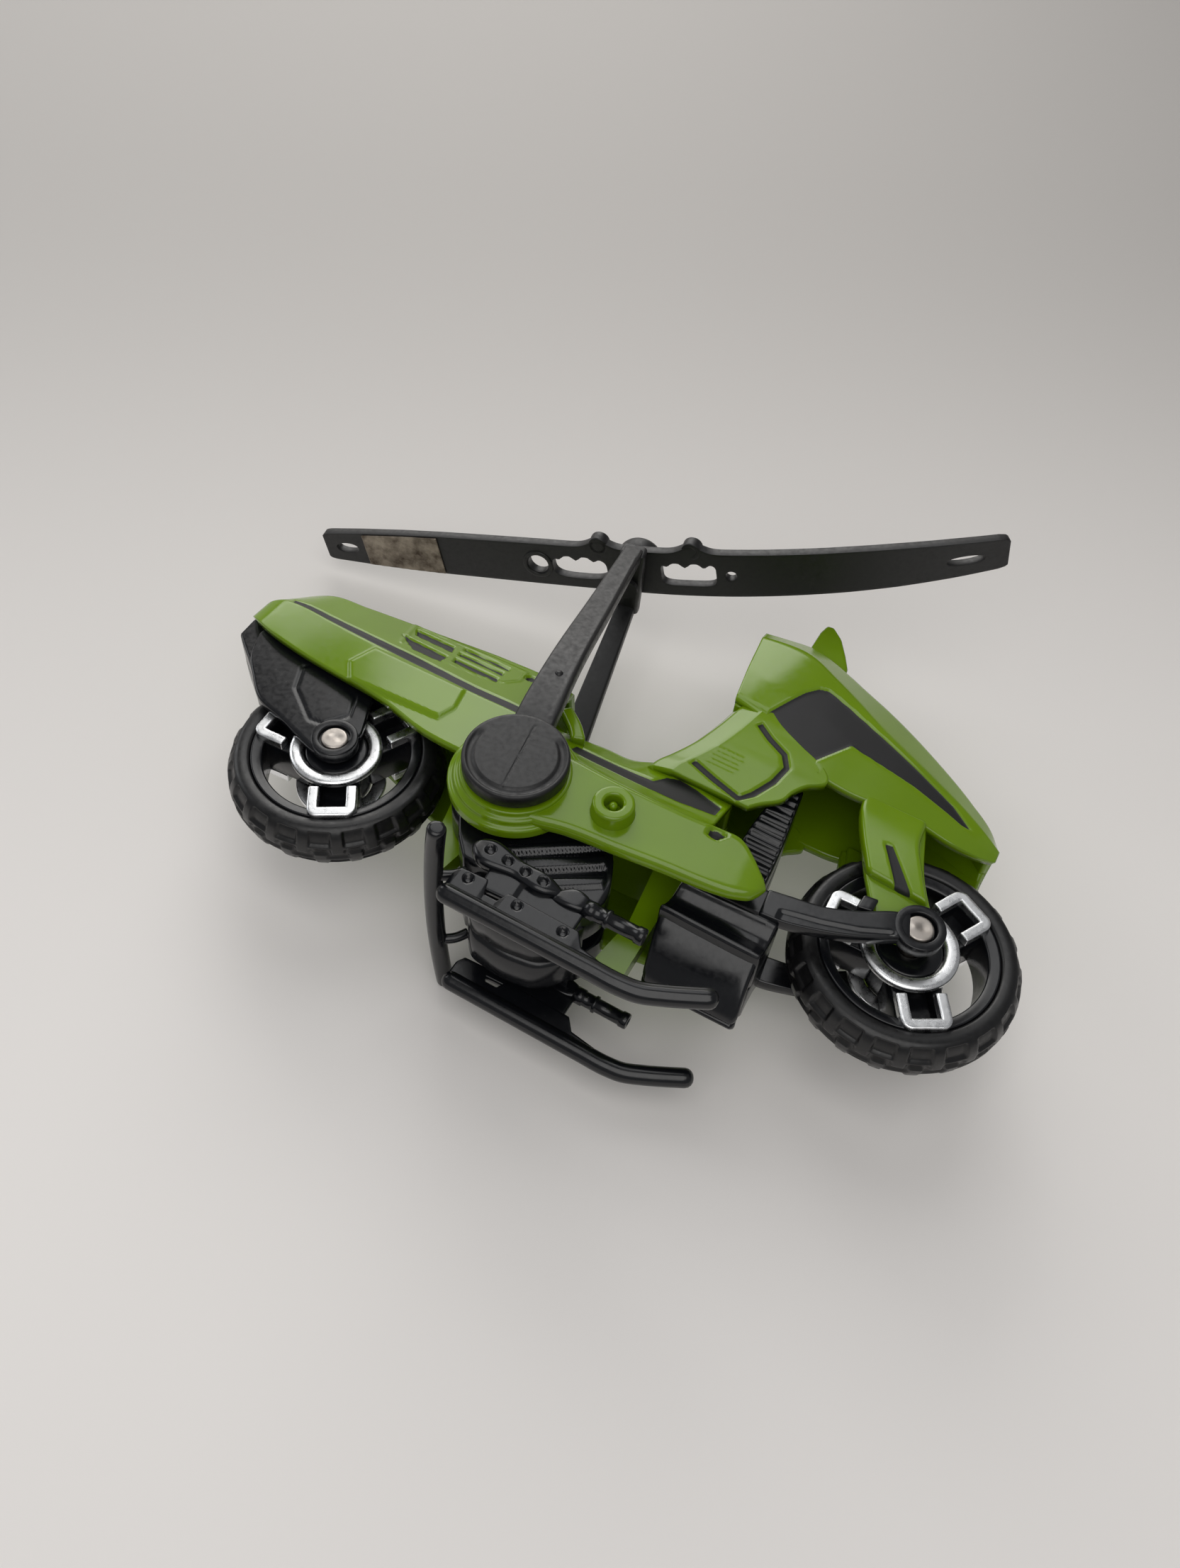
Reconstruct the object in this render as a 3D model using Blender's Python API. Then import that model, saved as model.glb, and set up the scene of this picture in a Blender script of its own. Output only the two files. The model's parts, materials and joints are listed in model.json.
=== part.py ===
"""Toy motorcycle that turns into a helicopter, about 144 mm long over the rotor.

Frame: +X is forward, +Y is the rider's left, +Z is up. The skids stand on z = 0, and x = 0 is the
middle of the overall length. Dimensions are in millimetres, with x measured from midway between the
two wheels; the empty "toy" carries that point to its place in the frame.
"""

import math

import bmesh
import bpy
from mathutils import Matrix, Vector

MM = 0.001
FIT = 0.3                      # gap between neighbouring mouldings

# ---- driving dimensions ----
TOY_X = 12.9                   # midway between the wheels, from the middle of the overall length
HALF_WHEELBASE = 42.6
FRONT_AXLE = (HALF_WHEELBASE, 31.0)
REAR_AXLE = (-HALF_WHEELBASE, 17.7)
TYRE_R, TYRE_HALF_WIDTH = 16.1, 4.2
RIM_R, RIM_INNER_R = 12.2, 10.8
HUB_R, AXLE_R, RIVET_R = 4.6, 1.2, 1.95
SPOKE_ANGLES = (61, 181, 301)  # front wheel, degrees above the forward direction
REAR_WHEEL_TURN = 2            # how far the rear wheel's spokes are turned from the front wheel's

PIVOT = (-14.5, 21.9)          # lateral axis that the mast folds on
PIVOT_R = 2.0
RING_R, RING_OUT = 9.2, 14.2   # stepped green ring under the mast's disc
DISC_R, DISC_IN, DISC_OUT = 7.4, 14.6, 17.1
PEG = (0.1, 22.6)              # round peg on the side beam
MAST_LEAN = 10.7               # degrees back from upright
CROWN_LOW, CROWN_TOP = 55.2, 58.2
ROTOR_HEIGHT = 59.4            # rotor plane above the pivot, along the mast
ROTOR_TURN, ROTOR_TILT = -12.7, 1.3
BLADE_LENGTH, BLADE_RISE, BLADE_HALF_THICK = 61.0, 12.7, 0.8

SHELL = 1.4                    # wall of the green shells
SEAM = 0.15                    # half of the gap between mouldings that meet on the centre plane
SPINE = 1.5                    # half thickness of the inner frame
SKID_Y, SKID_R = 11.7, 1.4
CROSSBAR_HALF, CROSSBAR_R = 20.0, 1.3
BLOCK_HALF, RADIATOR_HALF, POD_HALF = 8.5, 6.0, 9.0
FRONT_ARM_IN, FRONT_ARM_OUT = 7.2, 9.2
FORK_IN, FORK_OUT = 5.3, 6.9
SWING_IN, SWING_OUT = 4.8, 6.3

RIGHT = -1                     # right-hand pieces are modelled, left-hand ones are their twins


def material(name, colour, roughness, metallic=0.0):
    made = bpy.data.materials.new(name)
    made.use_nodes = True
    shader = made.node_tree.nodes["Principled BSDF"]
    shader.inputs["Base Color"].default_value = (*colour, 1)
    shader.inputs["Roughness"].default_value = roughness
    shader.inputs["Metallic"].default_value = metallic
    return made


def new_object(name, mesh_data, turn_out=True):
    """Links a bmesh as an object, with its faces turned outwards first."""
    if turn_out:
        bmesh.ops.recalc_face_normals(mesh_data, faces=mesh_data.faces)
    mesh = bpy.data.meshes.new(name)
    mesh_data.to_mesh(mesh)
    mesh_data.free()
    made = bpy.data.objects.new(name, mesh)
    bpy.context.scene.collection.objects.link(made)
    return made


def loft(name, sections):
    """Skins closed sections, each a list of (x, y, z) points, and caps both ends."""
    made = bmesh.new()
    rings = [[made.verts.new(Vector(p) * MM) for p in section] for section in sections]
    count = len(rings[0])
    for low, high in zip(rings, rings[1:]):
        for i in range(count):
            k = (i + 1) % count
            made.faces.new((low[i], low[k], high[k], high[i]))
    made.faces.new(rings[0])
    made.faces.new(rings[-1])
    return new_object(name, made)


def prism(name, outline, y_low, y_high):
    """An (x, z) outline carried from one lateral position to another."""
    return loft(name, [[(x, y, z) for x, z in outline] for y in (y_low, y_high)])


def circle(centre, radius, count):
    return [
        (
            centre[0] + radius * math.cos(2 * math.pi * i / count),
            centre[1] + radius * math.sin(2 * math.pi * i / count),
        )
        for i in range(count)
    ]


def disc(name, centre, radius, y_low, y_high, count=32):
    return prism(name, circle(centre, radius, count), y_low, y_high)


def turned(name, centre, profile, count):
    """Spins a closed (radius, y) profile about the lateral line through an (x, z) centre."""
    made = bmesh.new()
    rings = []
    for i in range(count):
        angle = 2 * math.pi * i / count
        rings.append(
            [
                made.verts.new(
                    Vector(
                        (
                            centre[0] + r * math.cos(angle),
                            y,
                            centre[1] + r * math.sin(angle),
                        )
                    )
                    * MM
                )
                for r, y in profile
            ]
        )
    for i in range(count):
        a, b = rings[i], rings[(i + 1) % count]
        for j in range(len(profile)):
            k = (j + 1) % len(profile)
            made.faces.new((a[j], a[k], b[k], b[j]))
    return new_object(name, made)


def rod(name, start, end, radius, count=16):
    start, end = Vector(start), Vector(end)
    side = (end - start).normalized().orthogonal().normalized()
    across = (end - start).normalized().cross(side)
    turns = [2 * math.pi * i / count for i in range(count)]
    sections = [
        [p + side * radius * math.cos(t) + across * radius * math.sin(t) for t in turns]
        for p in (start, end)
    ]
    return loft(name, sections)


def bent_rod(name, path, radius, axis, count=12):
    """Bar along a path that stays square to one axis, with flats facing along the other."""
    points, axis = [Vector(p) for p in path], Vector(axis)
    turns = [2 * math.pi * (i + 0.5) / count for i in range(count)]
    sections = []
    for i, p in enumerate(points):
        ahead = (points[min(i + 1, len(points) - 1)] - points[max(i - 1, 0)]).normalized()
        side = axis.cross(ahead).normalized()
        sections.append(
            [p + side * radius * math.cos(t) + axis * radius * math.sin(t) for t in turns]
        )
    return loft(name, sections)


def combine(target, others, operation):
    """Applies Boolean steps one after another and drops the tools."""
    for other in others:
        step = target.modifiers.new("step", "BOOLEAN")
        step.operation, step.solver, step.object = operation, "EXACT", other
        bpy.context.view_layer.update()
        shape = target.evaluated_get(bpy.context.evaluated_depsgraph_get())
        mesh = bpy.data.meshes.new_from_object(shape)
        target.modifiers.clear()
        target.data = mesh
        bpy.data.objects.remove(other)
    return target


def fuse(target, *others):
    return combine(target, others, "UNION")


def cut(target, *others):
    return combine(target, others, "DIFFERENCE")


def mirrored(source, name):
    """A left-hand twin of a right-hand piece."""
    made = bmesh.new()
    made.from_mesh(source.data)
    for vertex in made.verts:
        vertex.co.y = -vertex.co.y
    bmesh.ops.reverse_faces(made, faces=made.faces)
    return new_object(name, made, turn_out=False)


def empty(name, point, parent=None):
    """An empty that pieces hang from, on their joint's axis where they move."""
    made = bpy.data.objects.new(name, None)
    bpy.context.scene.collection.objects.link(made)
    made.location = Vector(point) * MM
    made.parent = parent
    return made


def settle(piece, paint, parent):
    """Gives a piece its material and hangs it on an empty, which becomes its origin."""
    piece.data.materials.clear()
    piece.data.materials.append(paint)
    piece.data.shade_smooth()
    piece.data.set_sharp_from_angle(angle=math.radians(32))
    if parent.parent:
        piece.data.transform(Matrix.Translation(-parent.location))
    piece.parent = parent


def pair(build, name, paint, parent):
    """A right-hand piece and its left-hand twin."""
    right = build(name + "_right")
    left = mirrored(right, name + "_left")
    settle(right, paint, parent)
    settle(left, paint, parent)


# ---- green body shells ----


def thickened(path, wall):
    """Closes an open (y, z) path, given from the centre plane outwards, with its inner offset."""
    points = [Vector(p) for p in path]
    inner = []
    for i, p in enumerate(points):
        before = (p - points[i - 1]).normalized() if i else Vector((1, 0))
        after = (points[i + 1] - p).normalized() if i + 1 < len(points) else before
        along = (before + after).normalized()
        inward = Vector((along.y, -along.x))
        reach = wall / max(0.5, along.dot(after))
        inner.append(p + inward * reach)
    inner[0].x = points[0].x
    return points + inner[::-1]


def channel(name, stations, wall=SHELL):
    """Half of a hollow hull: (x, path) stations, each path running from the centre plane down."""
    return loft(
        name,
        [[(x, RIGHT * y, z) for y, z in thickened(path, wall)] for x, path in stations],
    )


def tail_half():
    """Rear hull over the wheel, open underneath, with its end and front walls."""
    stations = [
        (-66.8, [(SEAM, 41.0), (3.0, 40.4), (7.2, 35.6), (7.6, 30.0)]),
        (-62.5, [(SEAM, 43.8), (3.8, 43.2), (8.0, 35.7), (8.2, 28.7)]),
        (-50, [(SEAM, 45.4), (4.0, 44.9), (8.7, 35.6), (8.5, 27.0)]),
        (-40, [(SEAM, 46.3), (4.1, 45.8), (9.5, 35.2), (9.6, 25.6)]),
        (-30, [(SEAM, 47.0), (4.3, 46.6), (10.5, 33.8), (11.0, 22.8)]),
        (-19, [(SEAM, 46.0), (4.6, 45.6), (11.2, 33.6), (12.4, 22.0)]),
    ]
    hull = channel("tail", stations)
    end = [(-69.2, 34.6), (-67.7, 39.4), (-65.2, 41.6), (-63.6, 42.2), (-65.8, 36.5), (-66.2, 34.6)]
    front = [(-20.2, 45.6), (-18.4, 45.0), (-17.4, 37.2), (-19.2, 37.2)]
    return fuse(
        hull,
        prism("tail_end", end, RIGHT * 5.2, RIGHT * SEAM),
        prism("tail_front", front, RIGHT * 5.4, RIGHT * SEAM),
    )


def waist_half():
    """Seat, side stripe and skirt between the mast pivot and the tank."""
    stations = [
        (-21, [(SEAM, 38.0), (6.0, 37.6), (9.4, 34.0), (11.4, 30.5), (13.0, 28.0), (13.2, 21.5)]),
        (-8.4, [(SEAM, 38.1), (6.0, 37.7), (8.6, 33.2), (11.0, 29.6), (12.6, 28.1), (13.5, 16.2)]),
        (0, [(SEAM, 39.6), (6.2, 39.2), (8.8, 33.4), (11.0, 29.4), (12.6, 27.9), (13.5, 17.5)]),
        (12, [(SEAM, 38.4), (6.6, 38.2), (8.8, 34.0), (10.8, 29.8), (12.6, 28.5), (13.4, 18.8)]),
    ]
    return channel("waist", stations)


def beam_tip():
    """Pointed front end of the side beam."""
    stations = [
        (10, 13.4, 18.6, 28.3),
        (16, 13.1, 19.3, 29.0),
        (20, 12.7, 20.2, 27.2),
        (22.7, 12.0, 22.6, 24.4),
    ]
    wall = 1.6
    sections = []
    for x, out, low, high in stations:
        corners = ((out - wall, low), (out, low), (out, high), (out - wall, high))
        sections.append([(x, RIGHT * y, z) for y, z in corners])
    return loft("beam_tip", sections)


def tank_half():
    """Upright part between the seat and the cowl, open at the front."""
    stations = [
        (36.6, -2.5, 16.6),
        (40.7, -0.5, 18.0),
        (44.6, 1.5, 20.4),
        (49.7, 3.0, 24.0),
        (55.2, 4.5, 26.0),
    ]
    half = 9.0
    sections = []
    for z, rear, front in stations:
        outer = [(rear, SEAM), (rear, 5.6), (rear + 2.0, 8.2), (rear + 5.0, half), (front, half)]
        inner = [
            (front, half - SHELL),
            (rear + 5.4, half - SHELL),
            (rear + 3.0, 7.2),
            (rear + SHELL, 5.0),
            (rear + SHELL, SEAM),
        ]
        sections.append([(x, RIGHT * y, z) for x, y in outer + inner])
    return loft("tank", sections)


def cowl_half():
    """Screen and nose over the front wheel, open underneath."""
    stations = [
        (2.0, [(SEAM, 73.4), (5.6, 73.2), (7.4, 70.0), (8.4, 57.0)]),
        (9.5, [(SEAM, 77.2), (4.0, 75.8), (8.0, 70.5), (8.9, 53.5)]),
        (16.5, [(SEAM, 76.6), (4.0, 73.5), (8.4, 66.0), (9.0, 49.5)]),
        (25, [(SEAM, 71.4), (4.0, 69.7), (7.9, 62.0), (8.3, 48.4)]),
        (35, [(SEAM, 65.4), (4.0, 64.1), (7.2, 57.5), (7.8, 48.6)]),
        (42, [(SEAM, 60.7), (3.8, 59.4), (6.3, 54.5), (6.8, 48.6)]),
        (46.8, [(SEAM, 56.6), (3.4, 55.5), (5.2, 52.8), (5.4, 49.4)]),
        (48.6, [(SEAM, 54.0), (2.6, 53.4), (4.0, 52.4), (4.2, 50.6)]),
    ]
    back = [(1.9, 73.3), (3.6, 73.3), (5.4, 54.5), (3.8, 54.5)]
    nose = [(46.6, 55.5), (48.6, 53.8), (48.6, 51.4), (46.6, 50.4)]
    return fuse(
        channel("cowl", stations),
        prism("cowl_back", back, RIGHT * 6.6, RIGHT * SEAM),
        prism("cowl_nose", nose, RIGHT * 3.9, RIGHT * SEAM),
    )


def fork_leg():
    """Leg from the cowl down to the front axle: an outer top on an inner plate."""
    plate = [
        (28.6, 50.5), (33.0, 37.0), (36.6, 31.2), (40.0, 28.6), (45.0, 29.4),
        (45.2, 32.6), (42.6, 36.8), (37.8, 46.5), (37.8, 50.5),
    ]
    top = [(28.2, 50.5), (32.8, 38.0), (41.0, 38.0), (37.8, 46.0), (37.8, 50.5)]
    return fuse(
        prism("leg_plate", plate, RIGHT * FORK_OUT, RIGHT * FORK_IN),
        prism("leg_top", top, RIGHT * 8.2, RIGHT * (FORK_OUT - 0.4)),
    )


def body_shell(name):
    fin = [
        (8.4, 74.0), (8.4, 83.6), (9.1, 85.6), (10.5, 84.9), (13.2, 81.6), (14.9, 78.2), (16.2, 74.0),
    ]
    finger = [(-16.6, 38.4), (-15.4, 39.4), (-10.6, 36.2), (-11.4, 33.8)]
    shell = fuse(
        waist_half(),
        tail_half(),
        tank_half(),
        cowl_half(),
        beam_tip(),
        fork_leg(),
        disc("ring", PIVOT, RING_R, RIGHT * RING_OUT, RIGHT * 10.4, 40),
        prism("fin", fin, RIGHT * 1.2, RIGHT * SEAM),
        prism("finger", finger, RIGHT * 9.2, RIGHT * 7.2),
        disc("peg", PEG, 2.9, RIGHT * 16.0, RIGHT * 12.8, 20),
    )
    shell.name = shell.data.name = name
    fork_room = [(-66.0, 26.0), (-66.0, 32.5), (-58.0, 33.5), (-58.0, 26.0)]
    return cut(
        shell,
        prism("fork_room", fork_room, RIGHT * (SWING_OUT + FIT), RIGHT * 3.0),
        disc("pivot_bore", PIVOT, PIVOT_R + FIT, RIGHT * 20, RIGHT * 5, 24),
        disc("axle_bore", FRONT_AXLE, AXLE_R + FIT, RIGHT * 10, RIGHT * 3, 20),
        disc("peg_bore", PEG, 1.3, RIGHT * 17, RIGHT * 14, 16),
    )


def inner_frame():
    """Thin green plate on the centre plane that the shells, pod and engine block close on."""
    bar = [
        (-58, 34.8), (-58, 38.6), (-21, 41.4), (-21, 36.1), (10.9, 36.1), (10.9, 6.4),
        (6.4, 8.6), (7.6, 16.0), (6.0, 30.4), (-10.5, 31.0), (-18.5, 31.0), (-24.0, 34.8),
    ]
    prong = [
        (-25.0, 24.5), (-21.8, 9.8), (-18.8, 9.6), (-17.4, 17.0), (-18.0, 26.0), (-19.0, 32.0),
        (-24.6, 32.0),
    ]
    post = [(-16.6, 24), (-12.4, 24), (-12.4, 33), (-16.6, 33)]
    frame = fuse(
        prism("inner_frame", bar, -SPINE, SPINE),
        prism("prong", prong, -SPINE, SPINE),
        disc("hub", PIVOT, 5.2, -SPINE, SPINE, 28),
        prism("post", post, -SPINE, SPINE),
    )
    return cut(frame, disc("bore", PIVOT, PIVOT_R + FIT, -5, 5, 24))


# ---- mast ----


def along_mast(height, across=0.0):
    """(x, z) of a point at a height above the pivot along the mast, and ahead of its middle."""
    lean = math.radians(MAST_LEAN)
    return (
        PIVOT[0] - height * math.sin(lean) + across * math.cos(lean),
        PIVOT[1] + height * math.cos(lean) + across * math.sin(lean),
    )


def mast_arm():
    """Flat arm that rises from the disc and leans in to the crown."""
    stations = [
        (2, 16.0, 2.9),
        (10, 15.9, 2.85),
        (18.5, 14.9, 2.55),
        (38.8, 10.2, 2.05),
        (57, 5.9, 1.6),
    ]
    half = 1.2
    sections = []
    for height, y, half_width in stations:
        rear, front = along_mast(height, -half_width), along_mast(height, half_width)
        sections.append(
            [
                (rear[0], RIGHT * (y + half), rear[1]),
                (front[0], RIGHT * (y + half), front[1]),
                (front[0], RIGHT * (y - half), front[1]),
                (rear[0], RIGHT * (y - half), rear[1]),
            ]
        )
    return loft("mast_arm", sections)


def mast_fork():
    """Discs, arms and crown, one black moulding that straddles the tail."""
    side = fuse(disc("side", PIVOT, DISC_R, RIGHT * DISC_OUT, RIGHT * DISC_IN, 40), mast_arm())
    outline = [along_mast(CROWN_LOW, -2.2), along_mast(CROWN_LOW, 2.2)]
    outline += [along_mast(CROWN_TOP, 2.0), along_mast(CROWN_TOP, -2.0)]
    crown = prism("crown", outline, -6.8, 6.8)
    fork = fuse(crown, mirrored(side, "far_side"), side)
    fork.name = fork.data.name = "mast_fork"
    reach = DISC_IN + 2.0
    pin = disc("axle_bore", PIVOT, PIVOT_R + FIT, -reach, reach, 24)
    return cut(fork, pin, rod("pin_bore", rotor_point(-6.0), rotor_point(0.0), 1.4))


def mast_axle():
    reach = DISC_IN + 1.7
    return disc("mast_axle", PIVOT, PIVOT_R, -reach, reach, 24)


# ---- rotor ----


def rotor_point(height, along=0.0, across=0.0):
    """A point in the toy's frame from one in the rotor's: along the blade, across it and above it."""
    hub = along_mast(ROTOR_HEIGHT)
    lean = Matrix.Rotation(-math.radians(MAST_LEAN + ROTOR_TILT), 3, "Y")
    turn = Matrix.Rotation(math.radians(ROTOR_TURN), 3, "Z")
    return lean @ turn @ Vector((along, across, height)) + Vector((hub[0], 0, hub[1]))


def blade_rise(along):
    """The front blade has warped upwards, and the rear one is straight."""
    return BLADE_RISE * (max(along, 0.0) / BLADE_LENGTH) ** 2


def blade_plate(name, stations, low, high):
    """Flat strip along the rotor from (along, rear edge, front edge) stations."""
    sections = []
    for along, near, far in stations:
        rise = blade_rise(along)
        sections.append(
            [
                rotor_point(rise + height, along, across)
                for height, across in ((low, near), (low, far), (high, far), (high, near))
            ]
        )
    return loft(name, sections)


def rotor():
    half = [(BLADE_LENGTH, 2.6), (59.6, 3.0), (53, 3.5), (44, 4.0), (36, 4.25), (26, 4.4), (17, 4.5)]
    stations = [(-a, -w, w) for a, w in half] + [(a, -w, w) for a, w in half[::-1]]
    plate = blade_plate("rotor", stations, -BLADE_HALF_THICK, BLADE_HALF_THICK)
    windows = [
        blade_plate("window", [(side * 4.9, -2.4, 2.2), (side * 14.5, -1.6, 2.4)], -3, 3)
        for side in (-1, 1)
    ]
    ears = [
        rod("ear", rotor_point(-0.7, along, -4.6), rotor_point(1.4, along, -4.6), 1.6)
        for along in (-6.0, 10.5)
    ]
    boss = rod("boss", rotor_point(-0.7), rotor_point(4.4), 3.9, 24)
    hub = cut(fuse(plate, boss, *ears), *windows)
    return cut(hub, rod("bore", rotor_point(-3), rotor_point(8), 1.4))


def rotor_pin():
    """Pin from under the crown through the rotor's boss, with a head at each end."""
    shank = rod("rotor_pin", rotor_point(-5.2), rotor_point(5.2), 1.1)
    low = rod("low_head", rotor_point(-5.6), rotor_point(-4.7), 1.9)
    high = rod("high_head", rotor_point(4.7), rotor_point(5.7), 1.9)
    return fuse(shank, low, high)


def blade_sticker():
    """Foil strip under the rear blade."""
    under = -BLADE_HALF_THICK - FIT
    return blade_plate("blade_sticker", [(-49.5, -3.5, 3.5), (-35.5, -4.0, 4.0)], under - 0.2, under)


# ---- pod and skids ----


def pod(name):
    """Half of the pod under the pivot: a drum on the axle, a ribbed case and a smooth belly."""
    case = [
        (-20.6, 17.5), (-19.6, 15.6), (-17.1, 11.6), (-14.6, 8.6), (3.0, 8.6), (5.4, 13.1),
        (3.3, 18.2), (2.4, 20.6), (-3.0, 21.0),
    ]
    belly = [(-13.6, 10.0), (-12.0, 5.6), (-9.4, 3.2), (-2.6, 3.2), (2.0, 5.4), (4.0, 10.0)]
    half = fuse(
        disc(name, PIVOT, 8.9, RIGHT * POD_HALF, RIGHT * (SPINE + FIT), 36),
        prism("case", case, RIGHT * POD_HALF, RIGHT * (SPINE + FIT)),
        prism("belly", belly, RIGHT * 7.4, RIGHT * SEAM),
    )
    ribs = []
    for x in (-8.4, -5.4, -2.4):
        slant = [(x, 14.4), (x + 1.0, 14.4), (x + 6.0, 19.4), (x + 5.0, 19.4)]
        ribs.append(prism("rib", slant, RIGHT * 9.5, RIGHT * 8.8))
    return cut(fuse(half, *ribs), disc("bore", PIVOT, PIVOT_R + FIT, RIGHT * 12, 0, 24))


def skid(name):
    """Skid with the gun rack above it."""
    middle = SKID_R * math.cos(math.pi / 12)
    path = [(-13.4, middle), (13.5, middle), (16.2, 1.9), (18.4, 2.9), (24.2, 6.0)]
    runner = bent_rod(name, [(x, RIGHT * SKID_Y, z) for x, z in path], SKID_R, (0, 1, 0))
    rail = [(-13.2, 2.2), (5.4, 2.2), (8.6, 2.2), (5.0, 5.6), (-6.2, 6.3), (-13.2, 6.3)]
    rack = [
        (-15.8, 8.0), (-12.6, 7.7), (-12.6, 6.0), (-5.6, 6.0), (-4.6, 8.0), (4.0, 8.0), (4.2, 10.6),
        (-12.8, 11.3), (-15.8, 10.4),
    ]
    barrel = rod("barrel", (3.6, RIGHT * SKID_Y, 9.0), (12.6, RIGHT * SKID_Y, 9.0), 1.1, 14)
    posts = []
    for x in (-12, 0.6):
        square = [(x, 8.9), (x + 2.4, 8.9), (x + 2.4, 10.5), (x, 10.5)]
        posts.append(prism("post", square, RIGHT * 11.2, RIGHT * (POD_HALF + FIT)))
    return fuse(
        runner,
        prism("rail", rail, RIGHT * 12.5, RIGHT * 10.9),
        prism("rack", rack, RIGHT * 12.7, RIGHT * 10.9),
        barrel,
        *posts,
    )


def rear_crossbar():
    """Bowed bar across the toy behind the pod, with two short links."""
    x, z = -15.6, 4.6
    steps = [CROSSBAR_HALF * i / 4 for i in range(-4, 5)]
    path = [(x - 1.2 * (1 - (y / CROSSBAR_HALF) ** 2), y, z) for y in steps]
    bar = bent_rod("rear_crossbar", path, CROSSBAR_R, (0, 0, 1))
    links = [
        rod("link", (x - 0.9, side * 8.4, z), (-13.4, side * 8.0, 7.4), 0.7) for side in (-1, 1)
    ]
    return fuse(bar, *links)


# ---- engine block, front arm and rear fork ----


def engine_block(name):
    """Half of the engine block with its radiator and the arm that reaches the front axle."""
    case = [
        (12.0, 22.6), (11.7, 19.0), (11.3, 16.4), (26.0, 15.7), (26.3, 23.0), (24.4, 26.6),
        (14.0, 24.6),
    ]
    radiator = [
        (15.8, 24.0), (15.8, 36.5), (16.6, 46.4), (20.0, 46.4), (21.4, 36.0), (22.0, 24.0),
    ]
    arm = [
        (23.6, 26.3), (26.4, 26.4), (30.4, 27.2), (35.2, 29.4), (39.6, 32.0),
        (41.0, 27.8), (36.0, 25.2), (31.0, 23.2), (26.4, 22.0), (23.6, 21.6),
    ]
    keel = []
    for z, half, rear, front in ((17, 7.4, 11.6, 25.8), (12.5, 4.6, 12.1, 26.5), (9.6, 1.8, 12.9, 26.8)):
        corners = ((rear, SEAM), (front, SEAM), (front, half), (rear, half))
        keel.append([(x, RIGHT * y, z) for x, y in corners])
    block = fuse(
        prism(name, case, RIGHT * BLOCK_HALF, RIGHT * SEAM),
        loft("keel", keel),
        prism("radiator", radiator, RIGHT * RADIATOR_HALF, RIGHT * SEAM),
        prism("arm", arm, RIGHT * FRONT_ARM_OUT, RIGHT * FRONT_ARM_IN),
        disc("boss", FRONT_AXLE, 3.4, RIGHT * FRONT_ARM_OUT, RIGHT * FRONT_ARM_IN, 28),
    )
    return cut(
        block,
        disc("bore", FRONT_AXLE, AXLE_R + FIT, RIGHT * 10, RIGHT * 6, 20),
        disc("recess", FRONT_AXLE, RIVET_R + 0.35, RIGHT * 10, RIGHT * (FRONT_ARM_OUT - 1.0), 24),
    )


def rear_fork(name):
    """Half of the rear fork: an arm beside the wheel and half of the block behind it."""
    arm = [
        (-65.4, 28.8), (-63.7, 25.2), (-63.8, 24.0), (-57.0, 18.2), (-52.0, 16.9), (-45.0, 15.4),
        (-40.2, 15.6), (-39.6, 20.0), (-42.0, 27.0), (-44.0, 31.0), (-60.0, 31.5),
    ]
    block = [
        (-69.6, 32.6), (-68.1, 29.2), (-68.3, 27.8), (-61.1, 21.9), (-59.6, 20.9), (-60.6, 27.0),
        (-61.6, 32.6),
    ]
    foot = [(-65.6, 29.0), (-63.6, 25.4), (-61.4, 26.0), (-62.0, 31.0)]
    half = fuse(
        prism(name, arm, RIGHT * SWING_OUT, RIGHT * SWING_IN),
        disc("boss", REAR_AXLE, 3.4, RIGHT * 6.9, RIGHT * SWING_IN, 28),
        prism("block", block, RIGHT * 4.5, RIGHT * SEAM),
        prism("foot", foot, RIGHT * 5.2, RIGHT * 4.2),
    )
    return cut(
        half,
        disc("bore", REAR_AXLE, AXLE_R + FIT, RIGHT * 10, RIGHT * 3, 20),
        disc("recess", REAR_AXLE, RIVET_R + 0.35, RIGHT * 10, RIGHT * 5.9, 24),
    )


# ---- wheels ----


def rivet(name, centre, head):
    """Rivet across the toy: a shank with a flat head outside each arm."""
    shank = disc(name, centre, AXLE_R, -head - 0.1, head + 0.1, 20)
    heads = [disc("head", centre, RIVET_R, side * head, side * (head + 0.55), 24) for side in (-1, 1)]
    return fuse(shank, *heads)


def tyre(name, centre):
    """Crowned ring around the rim."""
    side = [(RIM_R + FIT, 3.3), (13.4, TYRE_HALF_WIDTH), (14.6, 3.9), (15.6, 2.4), (TYRE_R, 0.6)]
    return turned(name, centre, [(r, -y) for r, y in side] + side[::-1], 36)


def polar(centre, angle, out, side):
    """(x, z) at a distance out along a spoke's angle and a distance to its side."""
    a = math.radians(angle)
    return (
        centre[0] + out * math.cos(a) - side * math.sin(a),
        centre[1] + out * math.sin(a) + side * math.cos(a),
    )


def spoke_bar(name, centre, angle, out_low, out_high, side_low, side_high, y_low, y_high):
    corners = ((out_low, side_low), (out_high, side_low), (out_high, side_high), (out_low, side_high))
    return prism(name, [polar(centre, angle, o, s) for o, s in corners], y_low, y_high)


def rim(name, centre, angles):
    ring = turned(
        "ring", centre, [(RIM_INNER_R, -3.3), (RIM_R, -3.6), (RIM_R, 3.6), (RIM_INNER_R, 3.3)], 36
    )
    bars = [
        spoke_bar("bar", centre, angle, 3.6, 11.6, side * 2.7 - 0.65, side * 2.7 + 0.65, -3.0, 3.0)
        for angle in angles
        for side in (-1, 1)
    ]
    hub = disc(name, centre, HUB_R, -4.0, 4.0, 28)
    return cut(fuse(hub, ring, *bars), disc("bore", centre, AXLE_R + FIT, -6, 6, 20))


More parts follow.
